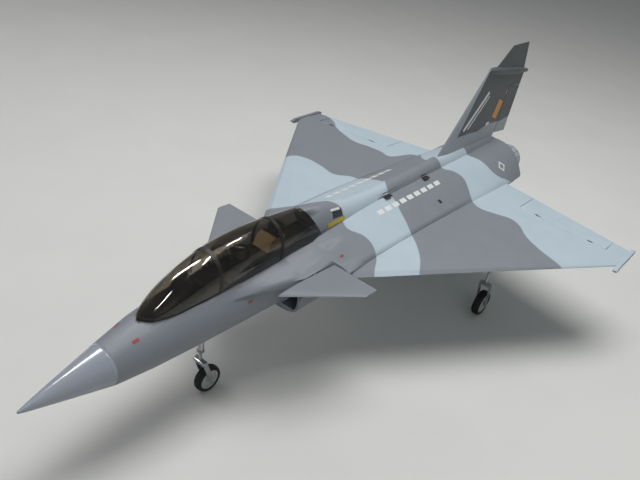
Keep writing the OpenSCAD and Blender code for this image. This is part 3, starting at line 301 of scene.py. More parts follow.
two_sided = add_node(tree, "ShaderNodeMix", {"Factor": belly.outputs["Value"],
                                             "A": top_colour.outputs["Result"],
                                             "B": hex_colour(UNDERSIDE_GREY)}, data_type="RGBA")
foam_surface(tree, shader, two_sided.outputs["Result"])
skins = {}
for node in ("centre_fuselage", "dorsal_spine", "left_wing", "right_wing", "left_elevon", "right_elevon",
             "tip_rails"):
    skins[node] = smooth_copy(node, evened=node != "dorsal_spine")
    dress(skins[node], two_greys)

# Front body, intake body, shelves and canards. The same bead foam, all in the medium grey. The shelves are
# blended into the body's sides: their inner edges close up to the canopy, and their front ends sink in.
# Rearmost section of the shelves, step to the next one forward and place of their inner edge, in mm
SHELF_REAR = -191.4
SHELF_STEP = 23.0
SHELF_EDGE = 34.0
NEAR_MM = 0.2
SEAM_MM = 0.5
# Moves inwards and up in mm, of the inner edge at each section from the rear on, and of the front end
EDGE_MOVES = ((3.8, 1.2), (3.5, 0.2), (2.1, 0.0), (0.9, 0.0))
FRONT_END, END_MOVE = 5, (2.0, -1.5)


def blend_in(shelves):
    """Moves the shelves' inner edges and front ends, one section at a time."""
    bpy.ops.object.mode_set(mode="EDIT")
    bpy.ops.mesh.select_mode(type="VERT")
    for section, (inward, up) in (*enumerate(EDGE_MOVES), (FRONT_END, END_MOVE)):
        for side in (-1, 1):
            bpy.ops.mesh.select_all(action="DESELECT")
            bpy.ops.object.mode_set(mode="OBJECT")
            corners = [c for c in shelves.data.vertices if c.co.x * side > 0
                       and abs(c.co.y / MM - SHELF_REAR + SHELF_STEP * section) < NEAR_MM]
            if section != FRONT_END:
                edge = [c for c in corners if abs(c.co.x * side / MM - SHELF_EDGE) < NEAR_MM]
                corners = [max(edge, key=lambda c: c.co.z)]
            for corner in corners:
                corner.select = True
            bpy.ops.object.mode_set(mode="EDIT")
            bpy.ops.transform.translate(value=(-side * inward * MM, 0, up * MM))
    bpy.ops.object.mode_set(mode="OBJECT")


# One-grey spray over bead foam: the same matte mottle
plain_grey, tree, shader = new_material("medium_grey_sprayed_foam", IOR=1.45)
foam_surface(tree, shader, hex_colour(MEDIUM_GREY))
for node in ("front_fuselage", "intake_body", "canard_fairings", "left_canard", "right_canard"):
    skins[node] = smooth_copy(node, reshape=blend_in if node == "canard_fairings" else None)
    dress(skins[node], plain_grey)
# The foam runs on over the seams, so each piece takes its neighbour's shading there
for node, neighbour in (("intake_body", "centre_fuselage"), ("canard_fairings", "intake_body")):
    alone(skins[node])
    seam = skins[node].modifiers.new("seam_shading", "DATA_TRANSFER")
    seam.object = skins[neighbour]
    seam.use_loop_data = True
    seam.data_types_loops = {"CUSTOM_NORMAL"}
    seam.loop_mapping = "NEAREST_NORMAL"
    seam.use_max_distance = True
    seam.max_distance = SEAM_MM * MM
    bpy.ops.object.modifier_apply(modifier="seam_shading")

# Nose cone. A thin blow-moulded plastic shell pushed into the front body, sprayed a shade lighter and
# left glossier than the foam, so it shows a long bright streak.
NOSE_GREY = "#969ca6"
PEEL_MM = 6.25
HAZE_MM = 56.0
# Gloss spray over a smooth shell: a clear streak, rippled a little by orange peel
nose_paint, tree, shader = new_material("glossy_sprayed_shell", Roughness=0.17, IOR=1.5)
place = add_node(tree, "ShaderNodeTexCoord").outputs["Object"]
peel = add_node(tree, "ShaderNodeTexNoise", {"Vector": place, "Scale": 1 / (PEEL_MM * MM), "Detail": 2.0})
haze = add_node(tree, "ShaderNodeTexNoise", {"Vector": place, "Scale": 1 / (HAZE_MM * MM), "Detail": 4.0})
shade = add_node(tree, "ShaderNodeMapRange", {"Value": haze.outputs["Fac"], "To Min": 0.94, "To Max": 1.05})
tint = add_node(tree, "ShaderNodeMix", {"Factor": 1.0, "A": hex_colour(NOSE_GREY),
                                        "B": shade.outputs["Result"]},
                data_type="RGBA", blend_type="MULTIPLY")
ripple = add_node(tree, "ShaderNodeBump", {"Height": peel.outputs["Fac"], "Strength": 0.06,
                                           "Distance": 0.4 * MM})
tree.links.new(tint.outputs["Result"], shader.inputs["Base Color"])
tree.links.new(ripple.outputs["Normal"], shader.inputs["Normal"])
dress(smooth_copy("nose_cone", angle=40), nose_paint)

# Fin, rudder and the fairing across the fin's top. Foam sheets sprayed dark, with a lighter front edge, which
# narrows upwards, and foot. The line between the two wanders. The rudder hangs on two pinned hinges.
FIN_DARK = "#55595c"
FIN_EDGE = "#9ba2a9"
# Lower front corner of the dark paint, aft and up in mm in the frame, and its front edge's slant in degrees
DARK_FROM = (322.0, 262.0)
DARK_SWEEP = 32.5
DARK_EDGE_MM = 2.0
WANDER_MM = 9.0
WANDER_PATCH_MM = 62.5
# Dark and lighter grey spray over bead foam: dry, with a soft line between
fin_paint, tree, shader = new_material("dark_sprayed_foam", IOR=1.45)
place = add_node(tree, "ShaderNodeTexCoord")
axes = add_node(tree, "ShaderNodeSeparateXYZ", {"Vector": place.outputs["Object"]})
wander = add_node(tree, "ShaderNodeTexNoise", {"Vector": place.outputs["Object"],
                                               "Scale": 1 / (WANDER_PATCH_MM * MM), "Detail": 1.0})
drift = add_node(tree, "ShaderNodeMapRange", {"Value": wander.outputs["Fac"], "To Min": -WANDER_MM * MM,
                                              "To Max": WANDER_MM * MM})
slope = math.tan(math.radians(DARK_SWEEP))
lean = add_node(tree, "ShaderNodeMath", {0: axes.outputs["Z"], 1: -slope, 2: axes.outputs["Y"]},
                operation="MULTIPLY_ADD")
back = add_node(tree, "ShaderNodeMath", {0: lean.outputs["Value"], 1: drift.outputs["Result"]},
                operation="ADD")
front_line = (DARK_FROM[0] - DARK_FROM[1] * slope) * MM
behind_edge = add_node(tree, "ShaderNodeMapRange", {"Value": back.outputs["Value"], "From Min": front_line,
                                                    "From Max": front_line + DARK_EDGE_MM * MM})
rise = add_node(tree, "ShaderNodeMath", {0: axes.outputs["Z"], 1: drift.outputs["Result"]}, operation="ADD")
over_foot = add_node(tree, "ShaderNodeMapRange", {"Value": rise.outputs["Value"],
                                                  "From Min": DARK_FROM[1] * MM,
                                                  "From Max": (DARK_FROM[1] + DARK_EDGE_MM) * MM})
dark = add_node(tree, "ShaderNodeMath", {0: behind_edge.outputs["Result"], 1: over_foot.outputs["Result"]},
                operation="MULTIPLY")
tint = add_node(tree, "ShaderNodeMix", {"Factor": dark.outputs["Value"], "A": hex_colour(FIN_EDGE),
                                        "B": hex_colour(FIN_DARK)}, data_type="RGBA")
foam_surface(tree, shader, tint.outputs["Result"])
for node in ("fin", "rudder", "fin_tip_fairing"):
    skins[node] = smooth_copy(node)
    dress(skins[node], fin_paint)

# Smoked canopy. One clear moulding, tinted brown and highly polished, that lifts off with the cockpit under
# it. Two dark bows cross it, and a soft rubber seal is stuck round its foot.
SMOKE = "#a49c90"
SWIRL_MM = 111.0
GLASS_SWELL = 0.4
SHARP_ANGLE = 40
BOW_PATCH_MM = 18.0
DUST_MM = 8.3
NOSE_TIP = 586.3925
WING_PLANE = 174.0
# Sill under the canopy's foot: aft of the nose tip and above the wing plane, in mm
SILL_FRONT = (161, 24)
SILL_REAR = (488, 34)
SEAL_UP = 2.4
SEAL_SWELL = 0.2
seal = node_copy("canopy_glass", "canopy_seal")
# Brown-smoked acrylic: clear, dark and mirror smooth
smoke, tree, shader = new_material("smoked_acrylic", Roughness=0.03, IOR=1.49, Transmission_Weight=1.0)
place = add_node(tree, "ShaderNodeTexCoord")
swirl = add_node(tree, "ShaderNodeTexNoise", {"Vector": place.outputs["Object"], "Scale": 1 / (SWIRL_MM * MM),
                                              "Detail": 2.0})
shade = add_node(tree, "ShaderNodeMapRange", {"Value": swirl.outputs["Fac"], "To Min": 0.97, "To Max": 1.02})
tint = add_node(tree, "ShaderNodeMix", {"Factor": 1.0, "A": hex_colour(SMOKE), "B": shade.outputs["Result"]},
                data_type="RGBA", blend_type="MULTIPLY")
tree.links.new(tint.outputs["Result"], shader.inputs["Base Color"])
glass = smooth_copy("canopy_glass", angle=50)
bpy.ops.object.mode_set(mode="EDIT")
bpy.ops.mesh.select_all(action="SELECT")
bpy.ops.mesh.tris_convert_to_quads(face_threshold=0.5, shape_threshold=0.9)
bpy.ops.mesh.select_all(action="DESELECT")
bpy.ops.mesh.edges_select_sharp(sharpness=math.radians(SHARP_ANGLE))
bpy.ops.transform.edge_crease(value=1.0)
bpy.ops.object.mode_set(mode="OBJECT")
polish = glass.modifiers.new("polish", "SUBSURF")
polish.levels = polish.render_levels = 2
bpy.ops.object.modifier_apply(modifier="polish")
swell = glass.modifiers.new("swell", "DISPLACE")
swell.strength = GLASS_SWELL * MM
swell.mid_level = 0
bpy.ops.object.modifier_apply(modifier="swell")
bpy.ops.object.shade_smooth_by_angle(angle=math.radians(SHARP_ANGLE))
dress(glass, smoke)
# Brown-black satin lacquer, with a few dry patches
bow_paint, tree, shader = new_material("satin_bow_lacquer", IOR=1.5)
patches = two_tone(tree, shader, "#110f0d", "#231e1a", BOW_PATCH_MM, detail=4.0)
sheen = add_node(tree, "ShaderNodeMapRange", {"Value": patches, "To Min": 0.42, "To Max": 0.60})
tree.links.new(sheen.outputs["Result"], shader.inputs["Roughness"])
dress(smooth_copy("canopy_bows", angle=50), bow_paint)
# Soft black rubber, dusty and dull
rubber, tree, shader = new_material("soft_black_rubber", IOR=1.5)
dust = two_tone(tree, shader, "#141414", "#2b2a29", DUST_MM, detail=4.0)
worn = add_node(tree, "ShaderNodeMapRange", {"Value": dust, "To Min": 0.65, "To Max": 0.88})
rough = add_node(tree, "ShaderNodeBump", {"Height": dust, "Strength": 0.15, "Distance": 0.3 * MM})
tree.links.new(worn.outputs["Result"], shader.inputs["Roughness"])
tree.links.new(rough.outputs["Normal"], shader.inputs["Normal"])


def at(left, aft, up):
    """Place in metres of a spot in mm: left of the middle, aft of the nose tip and above the wing plane."""
    return Vector((left, aft - NOSE_TIP, up + WING_PLANE)) * MM


sill_front, sill_rear = (at(0, aft, up + SEAL_UP) for aft, up in (SILL_FRONT, SILL_REAR))
over_sill = (sill_rear - sill_front).cross(Vector((-1, 0, 0)))
alone(seal)
bpy.ops.object.mode_set(mode="EDIT")
bpy.ops.mesh.select_all(action="SELECT")
bpy.ops.mesh.bisect(plane_co=sill_front, plane_no=over_sill, use_fill=True, clear_outer=True)
bpy.ops.object.mode_set(mode="OBJECT")
swell = seal.modifiers.new("swell", "DISPLACE")
swell.strength = SEAL_SWELL * MM
swell.mid_level = 0
bpy.ops.object.modifier_apply(modifier="swell")
dress(seal, rubber)
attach(seal, "hatch")

# Cockpit tub. Tray, coaming and side consoles, moulded in black nylon with the fine grain of a spark-cut
# mould. The consoles are pushed on to the tray, and three lacquered dials into the coaming's back. The fans,
# servos and other black mouldings share the finish.
SPARK_MM = 0.5
TONE_MM = 25.0
TRAY_UP = 3.4
HANDS = ((1, "left"), (-1, "right"))
CONSOLE = (8.0, 62.0, 6.0)
CONSOLE_AT = (23.0, 288.0)
CONSOLE_SINK = 0.6
KNOBS = 4
KNOB_FIRST = 9
KNOB_PITCH = 14
KNOB_SINK = 0.7
KNOB = [(0.0, 0.0), (2.6, 0.0), (2.6, 1.2), (2.0, 1.5), (1.8, 3.6), (1.4, 4.0), (0.0, 4.0)]
DIALS = 3
DIAL_PITCH = 9.5
DIALS_AFT = 258.0
DIALS_UP = 6.5
DIAL_SINK = 0.4
DIAL_FADE_MM = 3.8
DIAL = [(0.0, 0.9), (3.0, 0.9), (3.2, 1.6), (3.8, 1.6), (4.0, 1.2), (4.0, 0.0), (0.0, 0.0)]
SPIN_MERGE_MM = 0.005
# Moulded black nylon: near black and satin, with a fine even grain, drawn coarser than life to show
black_plastic, tree, shader = new_material("moulded_black_nylon", IOR=1.5)
tone = two_tone(tree, shader, "#17181a", "#26282a", TONE_MM, detail=3.0)
place = add_node(tree, "ShaderNodeTexCoord")
spark = add_node(tree, "ShaderNodeTexNoise", {"Vector": place.outputs["Object"], "Scale": 1 / (SPARK_MM * MM),
                                              "Detail": 2.0})
sheen = add_node(tree, "ShaderNodeMapRange", {"Value": tone, "To Min": 0.38, "To Max": 0.55})
grit = add_node(tree, "ShaderNodeBump", {"Height": spark.outputs["Fac"], "Strength": 0.12,
                                         "Distance": 0.2 * MM})
tree.links.new(sheen.outputs["Result"], shader.inputs["Roughness"])
tree.links.new(grit.outputs["Normal"], shader.inputs["Normal"])
for node in ("hatch_tray", "instrument_coaming", "fan_shrouds", "left_rotor", "right_rotor", "tail_pipes",
             "gear_mounts", "servos", "receiver", "wing_spars", "elevon_hinges",
             "left_elevon_fittings", "right_elevon_fittings"):
    dress(smooth_copy(node), black_plastic)


def tray_top(aft):
    """Height in mm of the tray's top at a station, which rises with the sill."""
    (front, low), (rear, high) = SILL_FRONT, SILL_REAR
    return low + (high - low) * (aft - front) / (rear - front) + TRAY_UP


def finished(piece, name, body, material, angle=40):
    """Applies a new piece's place to its mesh, shades it, dresses it and lets it ride on a body."""
    alone(piece)
    bpy.ops.object.transform_apply(location=True, rotation=True, scale=True)
    bpy.ops.object.shade_smooth_by_angle(angle=math.radians(angle))
    piece.name = name
    dress(piece, material)
    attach(piece, body)


def block(size, spot, taper=(1.0, 1.0), round_mm=1.0):
    """Moulded block of a size in mm that stands on a spot, with a tapered top and rounded edges."""
    bpy.ops.object.select_all(action="DESELECT")
    bpy.ops.mesh.primitive_cube_add(size=1.0)
    piece = bpy.context.object
    bpy.ops.object.mode_set(mode="EDIT")
    bpy.ops.transform.resize(value=[c * MM for c in size])
    bpy.ops.object.mode_set(mode="OBJECT")
    for corner in piece.data.vertices:
        corner.select = corner.co.z > 0
    for part in list(piece.data.edges) + list(piece.data.polygons):
        part.select = all(piece.data.vertices[v].select for v in part.vertices)
    bpy.ops.object.mode_set(mode="EDIT")
    bpy.ops.transform.resize(value=(taper[0], taper[1], 1))
    bpy.ops.mesh.select_all(action="SELECT")
    bpy.ops.mesh.bevel(offset=round_mm * MM, segments=3, affect="EDGES")
    bpy.ops.object.mode_set(mode="OBJECT")
    piece.location = spot + Vector((0, 0, size[2] * MM / 2))
    return piece


def turned(profile, spot, facing, steps):
    """Turned piece: radius and height points in mm, spun round an axis that faces a way from a spot."""
    bpy.ops.object.select_all(action="DESELECT")
    bpy.ops.mesh.primitive_plane_add(size=MM)
    piece = bpy.context.object
    bpy.ops.object.mode_set(mode="EDIT")
    bpy.ops.mesh.merge(type="CENTER")
    bpy.ops.transform.translate(value=(profile[0][0] * MM, 0, profile[0][1] * MM))
    for last, point in zip(profile, profile[1:]):
        step = ((point[0] - last[0]) * MM, 0, (point[1] - last[1]) * MM)
        bpy.ops.mesh.extrude_vertices_move(TRANSFORM_OT_translate={"value": step})
    bpy.ops.mesh.select_all(action="SELECT")
    bpy.ops.mesh.spin(steps=steps, angle=2 * math.pi, center=(0, 0, 0), axis=(0, 0, 1))
    bpy.ops.mesh.select_all(action="SELECT")
    bpy.ops.mesh.remove_doubles(threshold=SPIN_MERGE_MM * MM)
    bpy.ops.mesh.normals_make_consistent(inside=False)
    bpy.ops.object.mode_set(mode="OBJECT")
    turn = Vector(facing).to_track_quat("Z", "Y").to_matrix().to_4x4()
    piece.matrix_world = Matrix.Translation(spot) @ turn
    return piece


for side, hand in HANDS:
    middle = CONSOLE_AT[1] + CONSOLE[1] / 2
    foot = at(side * CONSOLE_AT[0], middle, tray_top(middle) - CONSOLE_SINK)
    finished(block(CONSOLE, foot, taper=(0.8, 0.96)), hand + "_console", "hatch", black_plastic)
    knob_up = tray_top(middle) + CONSOLE[2] - KNOB_SINK
    for i in range(KNOBS):
        knob_spot = at(side * CONSOLE_AT[0], CONSOLE_AT[1] + KNOB_FIRST + i * KNOB_PITCH, knob_up)
        knob = turned(KNOB, knob_spot, (0, 0, 1), steps=20)
        finished(knob, "%s_knob_%d" % (hand, i + 1), "hatch", black_plastic)
# Clear lacquer over print: pale dial faces with a small bright glint
dial_face, tree, shader = new_material("lacquered_dial", Roughness=0.2, IOR=1.5)
two_tone(tree, shader, "#5f6467", "#8b9194", DIAL_FADE_MM, detail=2.0)
for i in range(DIALS):
    left = (i - (DIALS - 1) / 2) * DIAL_PITCH
    spot = at(left, DIALS_AFT - DIAL_SINK, tray_top(DIALS_AFT) + DIALS_UP)
    finished(turned(DIAL, spot, (0, 1, 0), steps=24), "dial_%d" % (i + 1), "hatch", dial_face)

# Vent grilles. Two small black mouldings pressed into the slots in the spine's left flank, each a thin frame
# with three slanting slats.
VENTS_AFT = (668, 790)
# Spot beside the flank, left and up in mm, and how far up the flank from there the vents sit
FLANK_LEFT, FLANK_UP = 30.0, 43.4
VENT_RAISE = 3.1
GRILLE = (12.0, 17.0, 1.2)
GRILLE_SINK = 0.6
SLAT = (2.6, 14.6, 0.7)
SLAT_PITCH = 3.6
SLAT_OUT = 0.7
SLAT_LEAN = 24
for i, aft in enumerate(VENTS_AFT):
    _, spot, facing, _ = skins["dorsal_spine"].closest_point_on_mesh(at(FLANK_LEFT, aft, FLANK_UP))
    spot = spot + Vector((-facing.z, 0, facing.x)) * VENT_RAISE * MM
    flank = Matrix.Translation(spot) @ facing.to_track_quat("Z", "Y").to_matrix().to_4x4()
    plate = block(GRILLE, Vector((0, 0, -GRILLE_SINK * MM)), taper=(0.94, 0.96), round_mm=0.3)
    plate.matrix_world = flank @ Matrix.Translation(plate.location)
    finished(plate, "vent_%d_frame" % (i + 1), "airframe", black_plastic)
    for k in (-1, 0, 1):
        slat = block(SLAT, Vector((0, 0, 0)), round_mm=0.2)
        slat.matrix_world = (flank @ Matrix.Translation((k * SLAT_PITCH * MM, 0, SLAT_OUT * MM))
                             @ Matrix.Rotation(math.radians(SLAT_LEAN), 4, "Y"))
        finished(slat, "vent_%d_slat_%d" % (i + 1, k + 2), "airframe", black_plastic)

# Pilot. A small moulded figure in a dark flight suit, with a glossy black helmet, a mirrored visor and a
# mask, screwed to the tray from below.
PILOT_AFT = 332.0
CHEST = (34.0, 22.0, 16.0)
HELMET_UP = 23.0
HELMET_R = 14.0
VISOR_OVER = 0.7
# Cuts through the domes: how far out from the middle in mm, and the way to the side that is taken away
HELMET_CUTS = [(9.5, (0, 0, -1)), (11.5, (0, -0.8, -0.6))]
VISOR_CUTS = [(8.5, (0, 0, 1)), (3.5, (0, 0, -1)), (-2.0, (0, 1, 0))]
MASK = [(0.0, 0.0), (5.6, 0.0), (5.8, 2.0), (5.0, 5.0), (3.4, 7.4), (3.2, 9.0), (2.2, 9.4), (0.0, 9.4)]
MASK_AT = (0, -9.5, -6.0)
MASK_FACING = (0, -0.94, -0.34)
EAR_CUP = [(0.0, 0.0), (6.0, 0.0), (6.0, 1.6), (5.2, 2.6), (3.0, 3.0), (0.0, 3.0)]
EAR_CUP_AT = (12.4, 2.0, -4.0)
EAR_CUP_LEAN = -0.12
HELMET_PEEL_MM = 3.3
VISOR_HAZE_MM = 8.3
FOLD_MM = 7.1
# Glossy black lacquer: sharp glints, broken a little by fine orange peel
helmet_gloss, tree, shader = new_material("glossy_black_lacquer", Roughness=0.10, IOR=1.5)
peel = two_tone(tree, shader, "#1d1f22", "#2e3135", HELMET_PEEL_MM, detail=2.0)
ripple = add_node(tree, "ShaderNodeBump", {"Height": peel, "Strength": 0.05, "Distance": 0.3 * MM})
tree.links.new(ripple.outputs["Normal"], shader.inputs["Normal"])
# Mirror film on the visor, which throws back the lamps as white glints
mirror, tree, shader = new_material("mirrored_visor_film", Metallic=1.0, Roughness=0.07)
two_tone(tree, shader, "#6f6c66", "#94918a", VISOR_HAZE_MM, detail=2.0)
# Matte painted suit in soft folds of cloth, with painted shade darkening the hollows of the folds
suit_paint, tree, shader = new_material("matte_suit_paint", Roughness=0.75, IOR=1.45)
folds_and_painted_shade = two_tone(tree, shader, "#23261f", "#3b4034", FOLD_MM, detail=3.0)
crease = add_node(tree, "ShaderNodeBump", {"Height": folds_and_painted_shade, "Strength": 0.4, "Distance": 1.0 * MM})
tree.links.new(crease.outputs["Normal"], shader.inputs["Normal"])
seat_on = tray_top(PILOT_AFT)
chest = block(CHEST, at(0, PILOT_AFT, seat_on), taper=(0.62, 0.6), round_mm=4.0)
finished(chest, "pilot_chest", "hatch", suit_paint)
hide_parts("pilot")


def ball(radius, spot, cuts):
    """Dome of a radius in mm at a spot, of which the sides that the cutting planes face are taken away."""
    bpy.ops.object.select_all(action="DESELECT")
    bpy.ops.mesh.primitive_uv_sphere_add(segments=40, ring_count=24, radius=radius * MM)
    piece = bpy.context.object
    bpy.ops.object.mode_set(mode="EDIT")
    for height, outward in cuts:
        bpy.ops.mesh.select_all(action="SELECT")
        bpy.ops.mesh.bisect(plane_co=Vector(outward) * height * MM, plane_no=outward, use_fill=True,
                            clear_outer=True)
    bpy.ops.object.mode_set(mode="OBJECT")
    piece.location = spot
    return piece


head = at(0, PILOT_AFT, seat_on + HELMET_UP)
helmet = ball(HELMET_R, head, HELMET_CUTS)
finished(helmet, "pilot_helmet", "hatch", helmet_gloss, angle=50)
visor = ball(HELMET_R + VISOR_OVER, head, VISOR_CUTS)
finished(visor, "pilot_visor", "hatch", mirror, angle=50)
mask_spot = head + Vector(MASK_AT) * MM
finished(turned(MASK, mask_spot, MASK_FACING, steps=24), "pilot_mask", "hatch", rubber)
for side, hand in HANDS:
    cup_spot = head + Vector((side * EAR_CUP_AT[0], *EAR_CUP_AT[1:])) * MM
    cup = turned(EAR_CUP, cup_spot, (side, 0, EAR_CUP_LEAN), steps=24)
    finished(cup, "pilot_ear_cup_" + hand, "hatch", helmet_gloss)

# Seat. One moulding with a headrest, glued to the tray behind the pilot. Its back is painted tan, between a
# black bucket and a black headrest.
TAN_FROM = 0.27
TAN_TO = 0.70
TAN_EDGE_MM = 0.6
PORE_MM = 3.3
seat_low, seat_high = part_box("seat")
tan_low = seat_low[2] + TAN_FROM * (seat_high[2] - seat_low[2])
tan_high = seat_low[2] + TAN_TO * (seat_high[2] - seat_low[2])
# Matte brush paint in two colours, which lies finely pitted
seat_paint, tree, shader = new_material("two_colour_seat_paint", Roughness=0.7)
place = add_node(tree, "ShaderNodeTexCoord")
axes = add_node(tree, "ShaderNodeSeparateXYZ", {"Vector": place.outputs["Object"]})
pores = add_node(tree, "ShaderNodeTexNoise", {"Vector": place.outputs["Object"], "Scale": 1 / (PORE_MM * MM),
                                              "Detail": 4.0})
tan = add_node(tree, "ShaderNodeMix", {"Factor": pores.outputs["Fac"], "A": hex_colour("#cdb792"),
                                       "B": hex_colour("#ead9b8")}, data_type="RGBA")
above = add_node(tree, "ShaderNodeMapRange", {"Value": axes.outputs["Z"], "From Min": tan_low,
                                              "From Max": tan_low + TAN_EDGE_MM * MM})
below = add_node(tree, "ShaderNodeMapRange", {"Value": axes.outputs["Z"],
                                              "From Min": tan_high + TAN_EDGE_MM * MM,
                                              "From Max": tan_high})
on_back = add_node(tree, "ShaderNodeMath", {0: above.outputs["Result"], 1: below.outputs["Result"]},
                   operation="MULTIPLY")
tint = add_node(tree, "ShaderNodeMix", {"Factor": on_back.outputs["Value"], "A": hex_colour("#1d1d1c"),
                                        "B": tan.outputs["Result"]}, data_type="RGBA")
pit = add_node(tree, "ShaderNodeBump", {"Height": pores.outputs["Fac"], "Strength": 0.3,
                                        "Distance": 0.4 * MM})
tree.links.new(tint.outputs["Result"], shader.inputs["Base Color"])
tree.links.new(pit.outputs["Normal"], shader.inputs["Normal"])
dress(smooth_copy("seat"), seat_paint)

# Legs, axles, pushrods, canard shaft and motor cans. Drawn steel wire and turned rod, with fine lines along
# the drawing direction.
LINE_WIDTH_MM = 1.11
LINE_LENGTH_MM = 16.7
# Drawn steel: bright, with soft streaks, drawn coarser than life to show
steel, tree, shader = new_material("drawn_steel", Metallic=1.0)
place = add_node(tree, "ShaderNodeTexCoord")
line_sizes = (LINE_WIDTH_MM, LINE_LENGTH_MM, LINE_LENGTH_MM)
stretch = add_node(tree, "ShaderNodeMapping", {"Vector": place.outputs["Object"],
                                               "Scale": [1 / (c * MM) for c in line_sizes]})
lines = add_node(tree, "ShaderNodeTexNoise", {"Vector": stretch.outputs["Vector"], "Scale": 1.0,
                                              "Detail": 3.0})
tint = add_node(tree, "ShaderNodeMix", {"Factor": lines.outputs["Fac"], "A": hex_colour("#8d9093"),
                                        "B": hex_colour("#c3c6c9")}, data_type="RGBA")
polish = add_node(tree, "ShaderNodeMapRange", {"Value": lines.outputs["Fac"], "To Min": 0.22, "To Max": 0.40})
tree.links.new(tint.outputs["Result"], shader.inputs["Base Color"])
tree.links.new(polish.outputs["Result"], shader.inputs["Roughness"])
for node in ("main_legs", "nose_leg", "fan_motors", "canard_shaft", "canard_rod", "left_elevon_rod",
             "right_elevon_rod", "rudder_rod", "steering_rod"):
    dress(smooth_copy(node), steel)

# Rudder hinges and horn, servo arms and canard bushes. Small white nylon mouldings, a little translucent at
# thin edges. Hinges and horn are glued in, bushes pressed in, and arms pushed on to the servos' shafts.
CLOUD_MM = 14.3
# White nylon: milky, with a soft gloss
nylon, tree, shader = new_material("moulded_white_nylon", Roughness=0.42, IOR=1.53, Subsurface_Weight=0.08,
                                   Subsurface_Scale=1.0 * MM)
two_tone(tree, shader, "#cfd0cb", "#e3e3de", CLOUD_MM, detail=3.0)
for node in ("rudder_hinges", "canard_bushes", "rudder_fittings", "left_elevon_arm", "right_elevon_arm",
             "rudder_arm", "canard_arm", "steering_arm"):
    dress(smooth_copy(node), nylon)

# Wheels. Light grey moulded hubs on plain axles, with soft rubber tyres pressed over their rims. Three
# shallow grooves run round each tread.
GROOVES = (-0.45, 0.0, 0.45)
GROOVE_MM = 0.7
RIM_SHARE = 0.72
# Tyre wall, as shares of the way from the rim to the tread and of half the width
WALL = ((0.0, 0.8), (0.3, 1.0), (0.7, 0.92))
# Tread's edge and how far it lies under the crown, as shares of half the width
TREAD_EDGE, EDGE_DROP = 0.7, 0.12
HUB_CLOUD_MM = 11.0
# Moulded hub plastic: pale and even, with a soft gloss
hub_grey, tree, shader = new_material("grey_moulded_hub", Roughness=0.4, IOR=1.5)
two_tone(tree, shader, "#9fa7a2", "#b9c0bb", HUB_CLOUD_MM, detail=3.0)
for name in ("nose", "left", "right"):
    dress(smooth_copy(name + "_wheel"), hub_grey)
    low, high = (Vector(c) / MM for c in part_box(name + "_tyre"))
    radius, half = (high.z - low.z) / 2, (high.x - low.x) / 2
    rim = radius * RIM_SHARE
    wall = [(rim + rise * (radius - rim), -out * half) for rise, out in WALL]
    tread = [(radius - EDGE_DROP * half, -TREAD_EDGE * half)]
    for groove in GROOVES:
        crown = radius - EDGE_DROP * half * (groove / TREAD_EDGE) ** 2
        tread += [(crown, groove * half - GROOVE_MM), (crown - GROOVE_MM, groove * half - GROOVE_MM / 2),
                  (crown - GROOVE_MM, groove * half + GROOVE_MM / 2), (crown, groove * half + GROOVE_MM)]
    tread += [(radius - EDGE_DROP * half, TREAD_EDGE * half)]
    profile = wall + tread + [(r, -h) for r, h in reversed(wall)] + [wall[0]]
    tyre = turned(profile, (low + high) / 2 * MM, (1, 0, 0), steps=72)
    finished(tyre, name + "_tyre_tread", body_of_node[name + "_tyre"], rubber)
    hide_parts(name + "_tyre")

# Exhaust nozzles. Two vacuum-formed grey rings, pushed into the tail behind the tail pipes. Shallow grooves
# part their petals, darkened with painted shade, and soot leaves the grey a little uneven.
PETALS = 14
# Groove's half width and how far its edge reaches, as shares of a petal
GROOVE_FROM, GROOVE_TO = 0.02, 0.07
NOZZLE_X = 37.0
NOZZLE_Z = 182.0
SOOT_MM = 28.6
# Formed plastic ring: satin and dull
nozzle_skin, tree, shader = new_material("formed_grey_ring", Roughness=0.45, IOR=1.46)
place = add_node(tree, "ShaderNodeTexCoord")
axes = add_node(tree, "ShaderNodeSeparateXYZ", {"Vector": place.outputs["Object"]})
side = add_node(tree, "ShaderNodeMath", {0: axes.outputs["X"]}, operation="ABSOLUTE")
off_x = add_node(tree, "ShaderNodeMath", {0: side.outputs["Value"], 1: NOZZLE_X * MM}, operation="SUBTRACT")
off_z = add_node(tree, "ShaderNodeMath", {0: axes.outputs["Z"], 1: NOZZLE_Z * MM}, operation="SUBTRACT")
turn = add_node(tree, "ShaderNodeMath", {0: off_z.outputs["Value"], 1: off_x.outputs["Value"]},
                operation="ARCTAN2")
petal = add_node(tree, "ShaderNodeMath", {0: turn.outputs["Value"], 1: PETALS / (2 * math.pi)},
                 operation="MULTIPLY")
within = add_node(tree, "ShaderNodeMath", {0: petal.outputs["Value"], 1: 0.5}, operation="PINGPONG")
groove = add_node(tree, "ShaderNodeMapRange", {"Value": within.outputs["Value"], "From Min": GROOVE_FROM,
                                               "From Max": GROOVE_TO})
soot = add_node(tree, "ShaderNodeTexNoise", {"Vector": place.outputs["Object"], "Scale": 1 / (SOOT_MM * MM),
                                             "Detail": 4.0})
ring_tint = add_node(tree, "ShaderNodeMix", {"Factor": soot.outputs["Fac"], "A": hex_colour("#8b9698"),
                                             "B": hex_colour("#a9b3b5")}, data_type="RGBA")
# The grooves take a darker grey as painted shade
tint = add_node(tree, "ShaderNodeMix", {"Factor": groove.outputs["Result"], "A": hex_colour("#5f686a"),
                                        "B": ring_tint.outputs["Result"]}, data_type="RGBA")
cut = add_node(tree, "ShaderNodeBump", {"Height": groove.outputs["Result"], "Strength": 0.6,
                                        "Distance": 0.8 * MM})
tree.links.new(tint.outputs["Result"], shader.inputs["Base Color"])
tree.links.new(cut.outputs["Normal"], shader.inputs["Normal"])
dress(smooth_copy("nozzles", angle=30), nozzle_skin)

